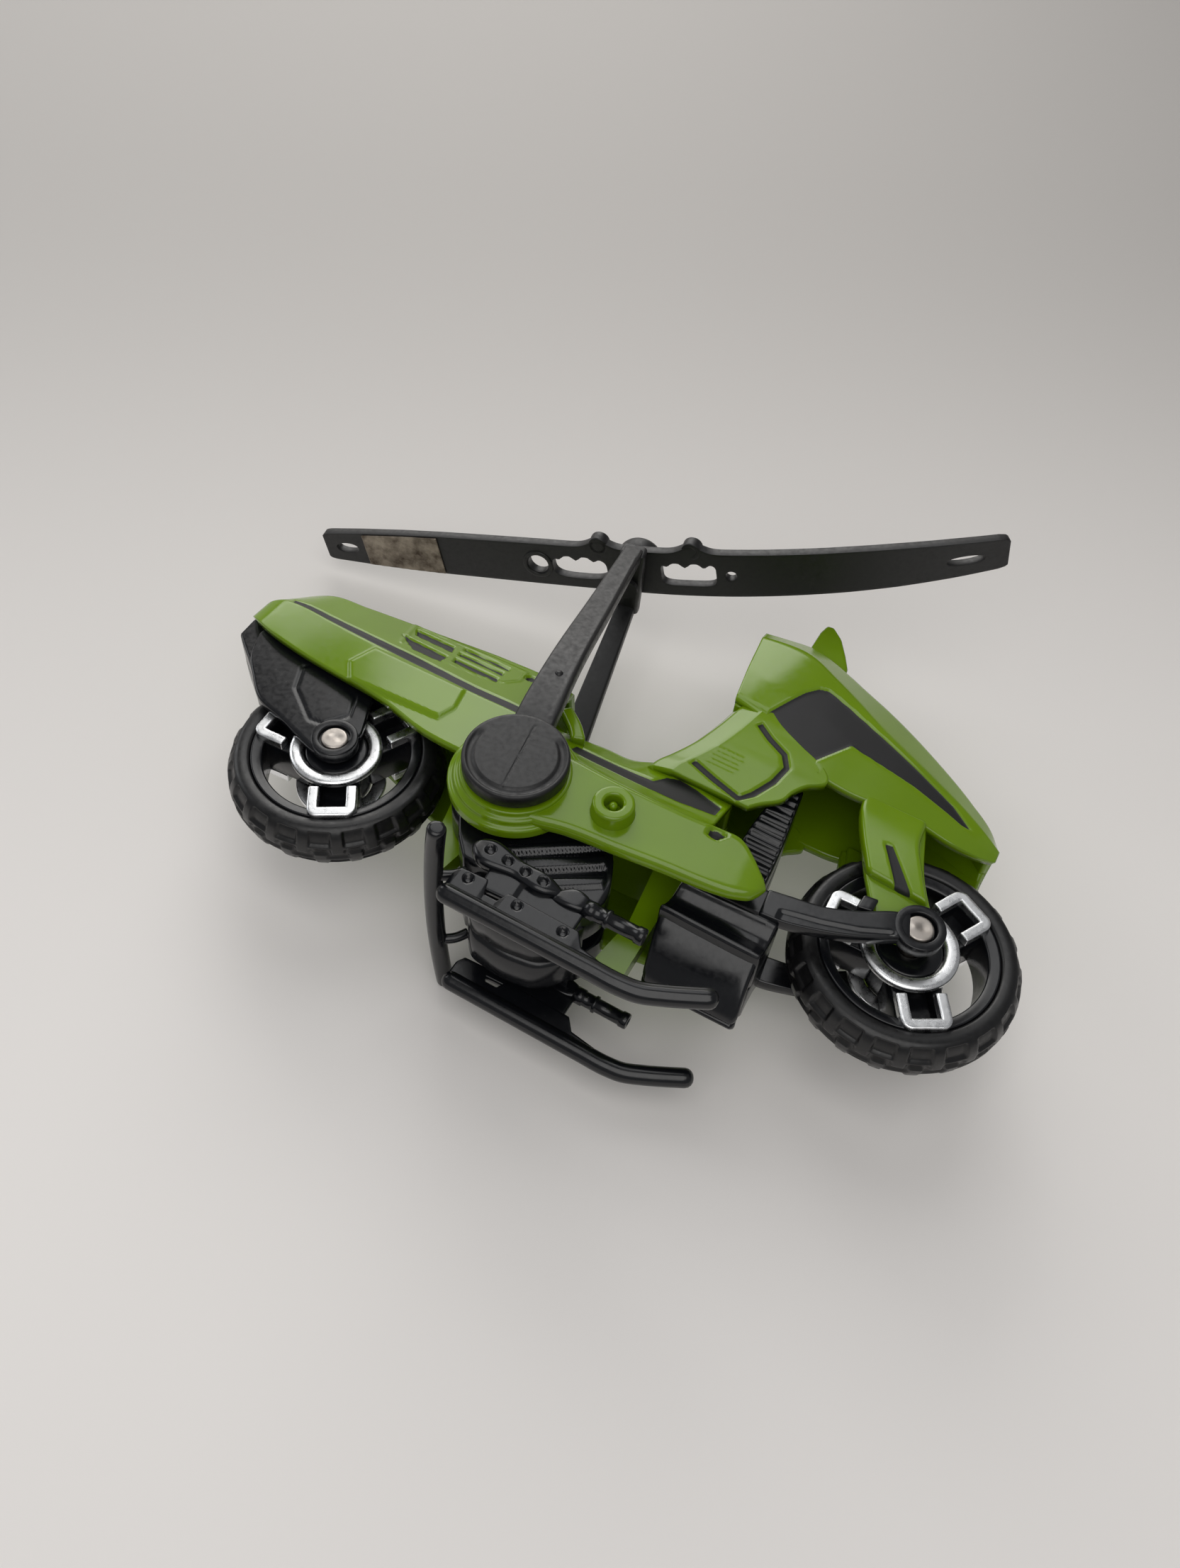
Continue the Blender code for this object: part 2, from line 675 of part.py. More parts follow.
def trim(name, centre, angles, side):
    """Bright insert on one face of a wheel: a ring and a U-shaped cap over each pair of bars."""
    low, high = side * 3.6, side * 4.2
    ring = turned(name, centre, [(HUB_R + 0.35, low), (6.6, low), (6.6, high), (HUB_R + 0.35, high)], 32)
    caps = []
    for angle in angles:
        for edge in (-1, 1):
            edges = sorted((edge * 2.05, edge * 3.35))
            caps.append(spoke_bar("leg", centre, angle, 5.2, 11.4, *edges, low, high))
        caps.append(spoke_bar("bridge", centre, angle, 10.6, 11.7, -3.35, 3.35, low, high))
    return fuse(ring, *caps)


# ---- assembly ----


def wheel(label, centre, turn, head, root):
    """Tyre, rim, two bright inserts and the rivet that they turn on."""
    axis = empty(label + "_axis", (centre[0], 0, centre[1]), root)
    angles = [angle + turn for angle in SPOKE_ANGLES]
    settle(tyre(label + "_tyre", centre), TYRE, axis)
    settle(rim(label + "_rim", centre, angles), BLACK, axis)
    settle(trim(label + "_trim_right", centre, angles, RIGHT), CHROME, axis)
    settle(trim(label + "_trim_left", centre, angles, -RIGHT), CHROME, axis)
    settle(rivet(label + "_axle", centre, head), STEEL, root)


for old in list(bpy.data.objects):
    bpy.data.objects.remove(old)

GREEN = material("green_plastic", (0.27, 0.52, 0.03), 0.28)
BLACK = material("black_plastic", (0.012, 0.013, 0.015), 0.3)
MATT = material("matt_black_plastic", (0.02, 0.02, 0.021), 0.55)
TYRE = material("tyre_plastic", (0.015, 0.015, 0.016), 0.5)
CHROME = material("bright_plating", (0.85, 0.86, 0.87), 0.12, 1.0)
STEEL = material("rivet_steel", (0.66, 0.62, 0.57), 0.35, 1.0)
FOIL = material("worn_foil", (0.33, 0.29, 0.24), 0.5, 0.3)

toy = empty("toy", (TOY_X, 0, 0))
pivot_x, pivot_z = PIVOT
mast_axis = empty("mast_axis", (pivot_x, 0, pivot_z), toy)
rotor_axis = empty("rotor_axis", rotor_point(0.0), toy)

pair(body_shell, "body_shell", GREEN, toy)
settle(inner_frame(), GREEN, toy)
settle(mast_axle(), STEEL, toy)
settle(mast_fork(), MATT, mast_axis)
settle(rotor_pin(), MATT, mast_axis)
settle(rotor(), MATT, rotor_axis)
settle(blade_sticker(), FOIL, rotor_axis)
pair(pod, "pod", BLACK, toy)
pair(skid, "skid", BLACK, toy)
settle(rear_crossbar(), BLACK, toy)
pair(engine_block, "engine_block", BLACK, toy)
pair(rear_fork, "rear_fork", BLACK, toy)
wheel("front", FRONT_AXLE, 0, FRONT_ARM_OUT - 0.7, toy)
wheel("rear", REAR_AXLE, REAR_WHEEL_TURN, 6.2, toy)
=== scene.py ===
"""Looks of the toy: a small green and black motorcycle with a helicopter's mast and rotor over it.

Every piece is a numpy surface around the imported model. Sizes are in millimetres in the toy's own
frame: x forward from midway between the wheels, y to the rider's left, z up from under the skids.
"""

import json

import bpy
import numpy as np
from mathutils import Matrix


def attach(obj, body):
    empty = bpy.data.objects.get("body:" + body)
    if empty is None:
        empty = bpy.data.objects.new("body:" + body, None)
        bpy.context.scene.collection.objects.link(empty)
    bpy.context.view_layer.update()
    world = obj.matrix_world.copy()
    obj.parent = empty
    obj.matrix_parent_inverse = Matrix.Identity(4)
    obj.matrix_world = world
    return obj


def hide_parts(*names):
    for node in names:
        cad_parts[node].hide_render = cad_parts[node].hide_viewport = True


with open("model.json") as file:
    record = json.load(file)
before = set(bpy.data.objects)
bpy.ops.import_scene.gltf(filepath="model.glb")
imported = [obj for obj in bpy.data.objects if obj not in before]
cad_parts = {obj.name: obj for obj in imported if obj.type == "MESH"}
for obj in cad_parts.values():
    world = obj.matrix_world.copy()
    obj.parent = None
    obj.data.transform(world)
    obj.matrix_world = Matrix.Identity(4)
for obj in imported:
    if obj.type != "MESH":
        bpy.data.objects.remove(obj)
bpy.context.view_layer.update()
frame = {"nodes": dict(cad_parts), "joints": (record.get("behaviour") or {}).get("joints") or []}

# Where things are: the joints give both axles, the mast's pivot and the rotor's hub.
at = {joint["name"]: np.array(joint["pos_m"]) * 1000 for joint in frame["joints"]}
TOY = np.array([(at["front_wheel_spin"][0] + at["rear_wheel_spin"][0]) / 2, 0.0, 0.0])
FRONT_AXLE = at["front_wheel_spin"] - TOY
REAR_AXLE = at["rear_wheel_spin"] - TOY
PIVOT = at["mast_fold"] - TOY
HUB = at["rotor_spin"] - TOY
ROTOR_AXIS = np.array(
    next(joint["axis"] for joint in frame["joints"] if joint["name"] == "rotor_spin")
)


# ---------------------------------------------------------------- camera
# It stands about 18 cm from the toy's middle, low on its right side and looking up past the skids.
# The toy lies on its left side on a table, so this is a look down at it.
EYE = np.array([37.3, -145.2, -67.1])
RIGHT = np.array([0.8698, -0.0656, 0.4890])
UP = np.array([-0.4237, -0.6072, 0.6721])
lens = bpy.data.cameras.new("camera")
lens.sensor_width = 36.0
lens.sensor_fit = "AUTO"
lens.lens = 27.993
lens.clip_start = 0.005
camera = bpy.data.objects.new("camera", lens)
bpy.context.scene.collection.objects.link(camera)
turned = np.eye(4)
turned[:3, 0] = RIGHT / np.linalg.norm(RIGHT)
turned[:3, 2] = np.cross(turned[:3, 0], UP / np.linalg.norm(UP))
turned[:3, 1] = np.cross(turned[:3, 2], turned[:3, 0])
turned[:3, 3] = (EYE + TOY) / 1000
camera.matrix_world = Matrix(turned.tolist())
bpy.context.scene.camera = camera
bpy.context.scene.view_settings.view_transform = "Standard"


# ---------------------------------------------------------------- studio
# White paper that runs under the toy's left side and sweeps up behind it, with a second sheet under the
# skids, and soft lights over them.
# The paper under the toy is painted darker towards its far end: painted shade for the light that falls off
# there.
# Each sheet shows from its front only, so neither hides the toy.


def link(mesh, name):
    """Puts a mesh in the scene as an object at the origin."""
    made = bpy.data.objects.new(name, mesh)
    bpy.context.scene.collection.objects.link(made)
    return made


def nodes_of(name):
    """A new material, with its node tree and its shader."""
    paint = bpy.data.materials.new(name)
    paint.use_nodes = True
    tree = paint.node_tree
    return paint, tree, tree.nodes["Principled BSDF"]


def add(tree, kind, **settings):
    """Adds a node and sets its properties, or its inputs where the name is an input's."""
    node = tree.nodes.new(kind)
    for key, value in settings.items():
        if hasattr(node, key):
            setattr(node, key, value)
        else:
            node.inputs[key.replace("_", " ")].default_value = value
    return node


def paper_material(name, near, far, start, end, direction):
    """Paper painted darker from near to far along a direction, as painted shade for the light falling off,
    and clear from the back.
    """
    paint, tree, shader = nodes_of(name)
    shader.inputs["Roughness"].default_value = 0.9
    place = add(tree, "ShaderNodeTexCoord")
    along = add(tree, "ShaderNodeVectorMath", operation="DOT_PRODUCT")
    along.inputs[1].default_value = direction
    span = add(tree, "ShaderNodeMapRange", interpolation_type="SMOOTHSTEP", From_Min=start, From_Max=end)
    blend = add(tree, "ShaderNodeMix", data_type="RGBA")
    blend.inputs[6].default_value = (*near, 1)
    blend.inputs[7].default_value = (*far, 1)
    side = add(tree, "ShaderNodeNewGeometry")
    clear = add(tree, "ShaderNodeBsdfTransparent")
    mix = add(tree, "ShaderNodeMixShader")
    tree.links.new(place.outputs["Object"], along.inputs[0])
    tree.links.new(along.outputs["Value"], span.inputs["Value"])
    tree.links.new(span.outputs["Result"], blend.inputs["Factor"])
    tree.links.new(blend.outputs[2], shader.inputs["Base Color"])
    tree.links.new(side.outputs["Backfacing"], mix.inputs["Fac"])
    tree.links.new(shader.outputs["BSDF"], mix.inputs[1])
    tree.links.new(clear.outputs["BSDF"], mix.inputs[2])
    tree.links.new(mix.outputs["Shader"], tree.nodes["Material Output"].inputs["Surface"])
    return paint


def quads(index):
    """Faces over a grid of point numbers."""
    return np.stack([index[:-1, :-1], index[:-1, 1:], index[1:, 1:], index[1:, :-1]], -1).reshape(-1, 4)


def sheet_mesh(name, points):
    """Quads over a grid of points, rows by columns."""
    index = np.arange(points[..., 0].size).reshape(points.shape[:2])
    mesh = bpy.data.meshes.new(name)
    mesh.from_pydata((points.reshape(-1, 3) / 1000).tolist(), [], quads(index).tolist())
    mesh.shade_smooth()
    return mesh


# The paper lies flat as far as SWEEP_FROM, then rises along an arc of a circle of SWEEP_R.
FAR = np.array([-0.533, 0.0, 0.846])
ACROSS = np.array([0.846, 0.0, 0.533])
TABLE_Y = 20.6
SWEEP_FROM = 130
SWEEP_R = 620
reach = np.linspace(-900, 1500, 61)
bend = np.clip(reach - SWEEP_FROM, 0, None)
turn = bend / SWEEP_R * 0.9
flat = reach - bend + SWEEP_R * np.sin(turn)
lift = SWEEP_R * (1 - np.cos(turn))
side_to_side = np.linspace(-1300, 1300, 5)
table_points = (
    side_to_side[None, :, None] * ACROSS
    + flat[:, None, None] * FAR
    - lift[:, None, None] * np.array([0.0, 1.0, 0.0])
    + TOY
    + np.array([0.0, TABLE_Y, 0.0])
)
table = link(sheet_mesh("table_paper", table_points), "table_paper")
# Painted shade: the paper goes from pale near the toy to darker grey far behind it, for the light falling
# off, not for the paper's own colour.
table.data.materials.append(
    paper_material("table_paper", (0.9, 0.87, 0.845), (0.5, 0.48, 0.46), -0.04, 0.24, tuple(FAR.tolist()))
)
ground = np.stack(np.meshgrid(np.linspace(-1200, 1200, 5), np.linspace(-1200, 1200, 5)), -1)
ground = np.concatenate([ground, np.full(ground.shape[:2] + (1,), -0.3)], -1)
floor = link(sheet_mesh("floor_paper", ground), "floor_paper")
floor.data.materials.append(
    paper_material("floor_paper", (0.6, 0.59, 0.575), (0.6, 0.59, 0.575), 0.5, 1.0, (0, 1, 0))
)
for sheet in (table, floor):
    sheet.visible_shadow = False
floor.visible_diffuse = False
floor.visible_glossy = False


def soft_light(name, place, target, size, power, tint=(1, 1, 1)):
    """A square softbox that faces a target, both in the toy's frame."""
    lamp = bpy.data.lights.new(name, "AREA")
    lamp.size = size / 1000
    lamp.energy = power
    lamp.color = tint
    made = bpy.data.objects.new(name, lamp)
    bpy.context.scene.collection.objects.link(made)
    back = np.array(place, float) - np.array(target, float)
    back /= np.linalg.norm(back)
    flat_side = np.cross([0.0, 0.0, 1.0], back)
    flat_side /= np.linalg.norm(flat_side)
    pose = np.eye(4)
    pose[:3, :3] = np.stack([flat_side, np.cross(back, flat_side), back], -1)
    pose[:3, 3] = (np.array(place, float) + TOY) / 1000
    made.matrix_world = Matrix(pose.tolist())


MIDDLE = (-5.0, 0.0, 40.0)
soft_light("over_table", (-270, -215, 400), MIDDLE, 330, 1.0, (1.0, 0.985, 0.96))
soft_light("beside_table", (-420, -200, 60), MIDDLE, 200, 0.25, (0.97, 0.985, 1.0))
soft_light("front_card", (-95, -390, 240), MIDDLE, 260, 0.3)
soft_light("near_fill", (90, -420, -190), MIDDLE, 420, 1.0, (1.0, 0.985, 0.965))
soft_light("left_fill", (60, 420, 260), MIDDLE, 480, 0.25)
world = bpy.data.worlds.new("studio")
world.use_nodes = True
world.node_tree.nodes["Background"].inputs["Color"].default_value = (0.93, 0.94, 0.96, 1)
world.node_tree.nodes["Background"].inputs["Strength"].default_value = 0.24
bpy.context.scene.world = world


# ---------------------------------------------------------------- rear hull, right and left
# Each side of the toy is one green shell, moulded in glossy plastic with a black side line pad-printed
# along it. This is its hull over the rear wheel, open underneath. SEAM is half the gap between shells.
LIME = (0.145, 0.255, 0.003)
INK = (0.008, 0.008, 0.009)
SEAM = 0.15
WALL = 1.3


def through(spots, rows, where):
    """Smooth curve through rows of values: on each span a cubic whose end slopes are those of the
    chords between the neighbouring rows."""
    spots, rows, where = np.asarray(spots, float), np.asarray(rows, float), np.asarray(where, float)
    slope = np.gradient(rows, spots, axis=0)
    i = np.clip(np.searchsorted(spots, where, "right") - 1, 0, len(spots) - 2)
    shape = (-1,) + (1,) * (rows.ndim - 1)
    width = (spots[i + 1] - spots[i]).reshape(shape)
    t = (where - spots[i]).reshape(shape) / width
    ends = rows[i] * (1 + 2 * t) * (1 - t) ** 2 + rows[i + 1] * t * t * (3 - 2 * t)
    return ends + width * (slope[i] * t * (1 - t) ** 2 - slope[i + 1] * t * t * (1 - t))


def softened(rows, count):
    """Rounds the corners of polylines along axis 1 by averaging each point with its neighbours, up
    to count steps away, with both ends kept in place."""
    before = 2 * rows[:, :1] - rows[:, count:0:-1]
    after = 2 * rows[:, -1:] - rows[:, -2 : -count - 2 : -1]
    padded = np.concatenate([before, rows, after], axis=1)
    weight = np.hanning(2 * count + 3)[1:-1]
    total = sum(w * padded[:, k : k + rows.shape[1]] for k, w in enumerate(weight))
    return total / weight.sum()


def inside(x, z, outline):
    """Distance inside a closed (x, z) outline, negative outside: the least distance to its edges,
    with the sign from counting the edges that a ray crosses."""
    start = np.asarray(outline, float)
    end = np.roll(start, -1, axis=0)
    point = np.stack([x.ravel(), z.ravel()], -1)[:, None]
    run = end - start
    along = np.clip(((point - start) * run).sum(-1) / (run**2).sum(-1), 0, 1)
    gap = np.linalg.norm(point - start - along[..., None] * run, axis=-1).min(axis=1)
    over = (start[:, 1] > point[..., 1]) != (end[:, 1] > point[..., 1])
    rise = np.where(run[:, 1] == 0, 1, run[:, 1])
    left = point[..., 0] < start[:, 0] + (point[..., 1] - start[:, 1]) * run[:, 0] / rise
    odd = (over & left).sum(axis=1) % 2 == 1
    return np.where(odd, gap, -gap).reshape(x.shape)


def ramp(distance, soft):
    """Goes smoothly from 0 to 1 over a distance of soft either side of an edge."""
    t = np.clip(distance / soft * 0.5 + 0.5, 0, 1)
    return t * t * (3 - 2 * t)


def grid_normals(points):
    """Unit normals of a grid: the cross product of its two directions."""
    across = np.gradient(points, axis=1)
    along = np.gradient(points, axis=0)
    normal = np.cross(along, across)
    return normal / np.maximum(np.linalg.norm(normal, axis=-1, keepdims=True), 1e-9)


def finish(name, points, faces, paint, slot, body, nodes, values=None, caps=()):
    """Makes a closed surface an object, from toy-frame millimetres, and says what it rides on and
    replaces. Its faces are turned round if the volume that they enclose comes out negative. values
    become its ink attribute."""
    points = np.asarray(points, float).reshape(-1, 3)
    fans = [np.stack([np.full(len(c) - 2, c[0]), c[1:-1], c[2:]], -1) for c in map(np.asarray, caps)]
    corners = points[np.concatenate([faces[:, :3], faces[:, [0, 2, 3]]] + fans)]
    volume = np.einsum("ij,ij->i", corners[:, 0], np.cross(corners[:, 1], corners[:, 2])).sum()
    every = faces.tolist() + [list(map(int, cap)) for cap in caps]
    if volume < 0:
        every = [face[::-1] for face in every]
    mesh = bpy.data.meshes.new(name)
    mesh.from_pydata(((points + TOY) / 1000).tolist(), [], every)
    mesh.shade_smooth()
    if values is not None:
        mark = mesh.attributes.new("ink", "FLOAT", "POINT")
        mark.data.foreach_set("value", np.asarray(values, np.float32).ravel())
    mesh.materials.append(paint)
    made = link(mesh, name)
    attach(made, body)
    if nodes:
        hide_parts(*nodes)
    return made


def two_sided(index):
    """Faces of a closed sheet: the outer grid of point numbers, the inner one, whose numbers follow
    on, and a rim between their borders."""
    count = index.size
    border = np.concatenate([index[0], index[1:, -1], index[-1, -2::-1], index[-2:0:-1, 0]])
    after = np.roll(border, -1)
    rim = np.stack([border, border + count, after + count, after], -1)
    return np.concatenate([quads(index), quads(index + count)[:, ::-1], rim])


def skin(name, side, stations, nodes, inks=(), dents=(), grain=0.32):
    """Moulded sheet through stations, each a row of (x, y, z) points from the centre plane outwards.
    Straight runs join a row's points with rounded corners, smooth curves join the rows, dents push
    the face in or out inside their outlines, and an inner face lies one wall below. grain is the
    spacing of its points."""
    rows = np.asarray(stations, float)
    gaps = np.linalg.norm(np.diff(rows, axis=0), axis=-1).mean(axis=1)
    spots = np.concatenate([[0], np.cumsum(gaps)])
    dense = through(spots, rows, np.linspace(0, spots[-1], int(spots[-1] / grain) + 2))
    widths = np.linalg.norm(np.diff(dense, axis=1), axis=-1).mean(axis=0)
    parts = []
    for k, width in enumerate(widths):
        t = np.linspace(0, 1, max(2, int(width / grain) + 1), endpoint=False)[None, :, None]
        parts.append(dense[:, k : k + 1] * (1 - t) + dense[:, k + 1 : k + 2] * t)
    outer = softened(np.concatenate(parts + [dense[:, -1:]], axis=1), 2)
    normal = grid_normals(outer)
    if normal[..., 1].mean() < 0:
        normal = -normal
    x, z = outer[..., 0], outer[..., 2]
    ink = np.full(x.shape, -1.0)
    for outline in inks:
        ink = np.maximum(ink, np.clip(inside(x, z, outline), -1, 1))
    lift = np.zeros(x.shape)
    for outline, depth, soft in dents:
        lift += depth * ramp(inside(x, z, outline), soft)
    inner = outer - normal * WALL
    inner[:, 0, 1] = outer[:, 0, 1]
    inner[..., 1] = np.maximum(inner[..., 1], SEAM)
    outer = outer + normal * lift[..., None]
    index = np.arange(x.size).reshape(x.shape)
    points = np.concatenate([outer.reshape(-1, 3), inner.reshape(-1, 3)]) * [1, side, 1]
    values = np.concatenate([ink.ravel(), np.full(x.size, -1.0)])
    return finish(name, points, two_sided(index), *GREEN_PART, nodes, values)


def plastic(name, colour, roughness, ripple, ripple_size, spread=0.05, wear=0.0):
    """Moulded plastic: the colour drifts by spread over the piece, the gloss is uneven with fine
    scuffs, and the face has a faint ripple, both in millimetres. wear makes rubbed spots paler."""
    paint, tree, shader = nodes_of(name)
    place = add(tree, "ShaderNodeTexCoord")
    drift = add(tree, "ShaderNodeTexNoise", Scale=90.0, Detail=2.0)
    scuff = add(tree, "ShaderNodeTexNoise", Scale=1400.0, Detail=5.0)
    tone = add(tree, "ShaderNodeMix", data_type="RGBA")
    low = [max(0.0, c * (1 - spread * 2)) for c in colour]
    high = [c * (1 + spread * 2) for c in colour]
    tone.inputs[6].default_value = (*low, 1)
    tone.inputs[7].default_value = (*high, 1)
    gloss = add(
        tree, "ShaderNodeMapRange", From_Min=0.3, From_Max=0.75,
        To_Min=roughness * 0.8, To_Max=roughness * 1.35,
    )
    wave = add(tree, "ShaderNodeTexNoise", Scale=1000.0 / ripple_size, Detail=3.0)
    bump = add(tree, "ShaderNodeBump", Strength=1.0, Distance=ripple / 1000)
    for node in (drift, scuff, wave):
        tree.links.new(place.outputs["Object"], node.inputs["Vector"])
    tree.links.new(drift.outputs["Fac"], tone.inputs["Factor"])
    tree.links.new(scuff.outputs["Fac"], gloss.inputs["Value"])
    tree.links.new(wave.outputs["Fac"], bump.inputs["Height"])
    tree.links.new(tone.outputs[2], shader.inputs["Base Color"])
    tree.links.new(gloss.outputs["Result"], shader.inputs["Roughness"])
    tree.links.new(bump.outputs["Normal"], shader.inputs["Normal"])
    if wear:
        scrape = add(tree, "ShaderNodeTexNoise", Scale=420.0, Detail=8.0, Roughness=0.75)
        spots = add(tree, "ShaderNodeMapRange", From_Min=0.66, From_Max=0.72)
        rubbed = add(tree, "ShaderNodeMix", data_type="RGBA")
        pale = [c + wear for c in colour]
        rubbed.inputs[7].default_value = (*pale, 1)
        tree.links.new(place.outputs["Object"], scrape.inputs["Vector"])
        tree.links.new(scrape.outputs["Fac"], spots.inputs["Value"])
        tree.links.new(spots.outputs["Result"], rubbed.inputs["Factor"])
        tree.links.new(tone.outputs[2], rubbed.inputs[6])
        tree.links.new(rubbed.outputs[2], shader.inputs["Base Color"])
    return paint


def inked(paint, ink, ink_roughness):
    """Prints a plastic where the ink attribute is above zero: it holds the distance in millimetres
    inside the print's outline."""
    tree = paint.node_tree
    shader = tree.nodes["Principled BSDF"]
    mark = add(tree, "ShaderNodeAttribute", attribute_name="ink")
    edge = add(tree, "ShaderNodeMapRange", From_Min=0.0, From_Max=0.08)
    tree.links.new(mark.outputs["Fac"], edge.inputs["Value"])
    colour = add(tree, "ShaderNodeMix", data_type="RGBA")
    colour.inputs[7].default_value = (*ink, 1)
    tree.links.new(shader.inputs["Base Color"].links[0].from_socket, colour.inputs[6])
    tree.links.new(edge.outputs["Result"], colour.inputs["Factor"])
    tree.links.new(colour.outputs[2], shader.inputs["Base Color"])
    gloss = add(tree, "ShaderNodeMix", data_type="FLOAT")
    gloss.inputs[3].default_value = ink_roughness
    tree.links.new(shader.inputs["Roughness"].links[0].from_socket, gloss.inputs[2])
    tree.links.new(edge.outputs["Result"], gloss.inputs["Factor"])
    tree.links.new(gloss.outputs[0], shader.inputs["Roughness"])


GREEN = plastic("green_plastic", LIME, 0.15, ripple=0.012, ripple_size=3.0, spread=0.07)
green_shader = GREEN.node_tree.nodes["Principled BSDF"]
green_shader.inputs["Subsurface Weight"].default_value = 0.12
green_shader.inputs["Subsurface Radius"].default_value = (0.6, 1.0, 0.1)
green_shader.inputs["Subsurface Scale"].default_value = 0.0012
inked(GREEN, INK, 0.6)
GREEN_PART = (GREEN, "green_plastic", "toy")

SIDES = (("right", -1), ("left", 1))


def path_at(x, path):
    """A skin's row across the toy at one x."""
    return [(x, y, z) for y, z in path]


TAIL = [
    path_at(-69.3, [(SEAM, 34.7), (0.8, 34.6), (1.7, 34.0), (1.9, 33.2)]),
    path_at(-68.9, [(SEAM, 36.8), (2.6, 36.6), (4.9, 34.9), (5.1, 31.8)]),
    path_at(-68.0, [(SEAM, 39.4), (2.9, 39.0), (6.2, 35.2), (6.4, 31.0)]),
    path_at(-66.2, [(SEAM, 41.6), (3.2, 41.2), (7.2, 35.7), (7.4, 30.1)]),
    path_at(-62.5, [(SEAM, 43.9), (3.8, 43.4), (8.0, 35.8), (8.2, 28.8)]),
    path_at(-56.0, [(SEAM, 44.8), (3.9, 44.3), (8.3, 35.8), (8.3, 27.7)]),
    path_at(-50.0, [(SEAM, 45.4), (4.0, 44.9), (8.7, 35.6), (8.5, 27.0)]),
    path_at(-40.0, [(SEAM, 46.3), (4.1, 45.8), (9.5, 35.2), (9.6, 25.6)]),
    path_at(-30.0, [(SEAM, 47.0), (4.3, 46.6), (10.5, 33.8), (11.0, 22.8)]),
    path_at(-22.0, [(SEAM, 46.9), (4.5, 46.5), (11.0, 33.7), (12.1, 22.0)]),
    path_at(-18.2, [(SEAM, 46.2), (4.6, 45.6), (11.2, 33.6), (12.4, 22.0)]),
]
SIDE_LINE = [(-64.6, 37.2), (-49.6, 36.2), (-29.0, 34.5), (-18.0, 34.2), (-18.0, 32.6), (-29.0, 33.0),
             (-44.8, 34.4), (-64.0, 36.0)]
VENTS = [
    [(-46.0, 43.8), (-38.6, 43.4), (-37.9, 41.4), (-44.8, 41.9)],
    [(-46.4, 40.4), (-37.4, 39.5), (-37.2, 37.2), (-42.0, 37.2)],
    [(-37.2, 44.3), (-28.8, 43.9), (-28.7, 43.1), (-37.0, 43.5)],
    [(-36.9, 42.3), (-28.7, 41.9), (-28.5, 41.0), (-36.6, 41.4)],
    [(-36.2, 40.0), (-28.2, 39.6), (-27.9, 38.3), (-35.9, 38.8)],
]
VENT_FRAME = [(-47.4, 45.0), (-26.2, 45.0), (-25.4, 41.4), (-26.8, 38.8), (-31.0, 37.6), (-45.0, 37.4)]
SIDE_PANEL = [(-46.6, 33.8), (-29.8, 32.7), (-29.0, 28.7), (-30.0, 26.0), (-46.2, 26.6), (-48.4, 29.6)]
BOLT = [(-24.9 + 0.75 * np.cos(a), 43.6 + 0.9 * np.sin(a)) for a in np.linspace(0, 2 * np.pi, 17)[:-1]]


def ring_dent(outline, depth, width):
    """A raised or sunk line along an outline: the outline's dent less the same one made smaller."""
    middle = np.mean(outline, axis=0)
    reach = np.abs(np.asarray(outline) - middle).max()
    small = middle + (np.asarray(outline) - middle) * (1 - width / reach)
    return [(outline, depth, 0.18), (small, -depth, 0.18)]


tail_dents = [(outline, -0.5, 0.16) for outline in VENTS + [BOLT]]
tail_dents += [(SIDE_LINE, -0.22, 0.18), (SIDE_PANEL, 0.35, 0.35)]
tail_dents += ring_dent(VENT_FRAME, 0.16, 0.75)
for label, side in SIDES:
    skin(
        "tail_" + label, side, TAIL, ["body_shell_" + label],
        inks=VENTS + [BOLT, SIDE_LINE], dents=tail_dents, grain=0.26,
    )


# ---------------------------------------------------------------- seat and waist, right and left
# The shell's waist runs under the rider's seat: a flat seat, a kick-up behind the tank, a black line
# under the seat and a flank that spreads out to the side beam.
SEAT = [
    path_at(-21.0, [(SEAM, 37.4), (6.0, 37.1), (8.6, 34.2), (11.3, 31.2), (12.4, 27.6)]),
    path_at(-14.0, [(SEAM, 37.5), (6.0, 37.2), (8.6, 33.8), (11.2, 30.6), (12.4, 27.6)]),
    path_at(-8.4, [(SEAM, 38.0), (6.0, 37.8), (8.6, 33.6), (11.0, 30.2), (12.4, 27.6)]),
    path_at(-4.0, [(SEAM, 38.3), (6.0, 38.0), (8.7, 33.5), (11.0, 30.0), (12.4, 27.6)]),
    path_at(0.0, [(SEAM, 40.0), (6.2, 39.6), (8.8, 33.6), (11.0, 29.9), (12.4, 27.6)]),
    path_at(5.0, [(SEAM, 40.0), (6.5, 39.8), (8.9, 34.4), (10.9, 30.2), (12.4, 27.8)]),
    path_at(12.2, [(SEAM, 38.6), (6.6, 38.4), (8.9, 34.4), (10.8, 30.4), (12.4, 28.4)]),
]
SEAT_LINE = [(-11.5, 34.3), (1.0, 34.3), (2.2, 36.5), (4.0, 37.3), (7.0, 36.7), (11.5, 35.2), (11.5, 32.6),
             (7.0, 31.8), (6.0, 31.6), (-11.5, 31.8)]
for label, side in SIDES:
    skin(
        "seat_" + label, side, SEAT, ["body_shell_" + label],
        inks=[SEAT_LINE], dents=[(SEAT_LINE, -0.3, 0.25)],
    )


# ---------------------------------------------------------------- tank, right and left
# The shell's upright tank between the seat and the cowl, open in front, where the black radiator
# shows. A groove runs round a finely dotted knee grip.
def tank_row(z, rear, front, half=9.0):
    """A skin's row at one height: over the tank's back, round its rear corner and along its flank."""
    return [
        (rear, SEAM, z), (rear, 5.4, z), (rear + 1.4, 7.9, z), (rear + 4.6, half, z), (front, half, z),
    ]


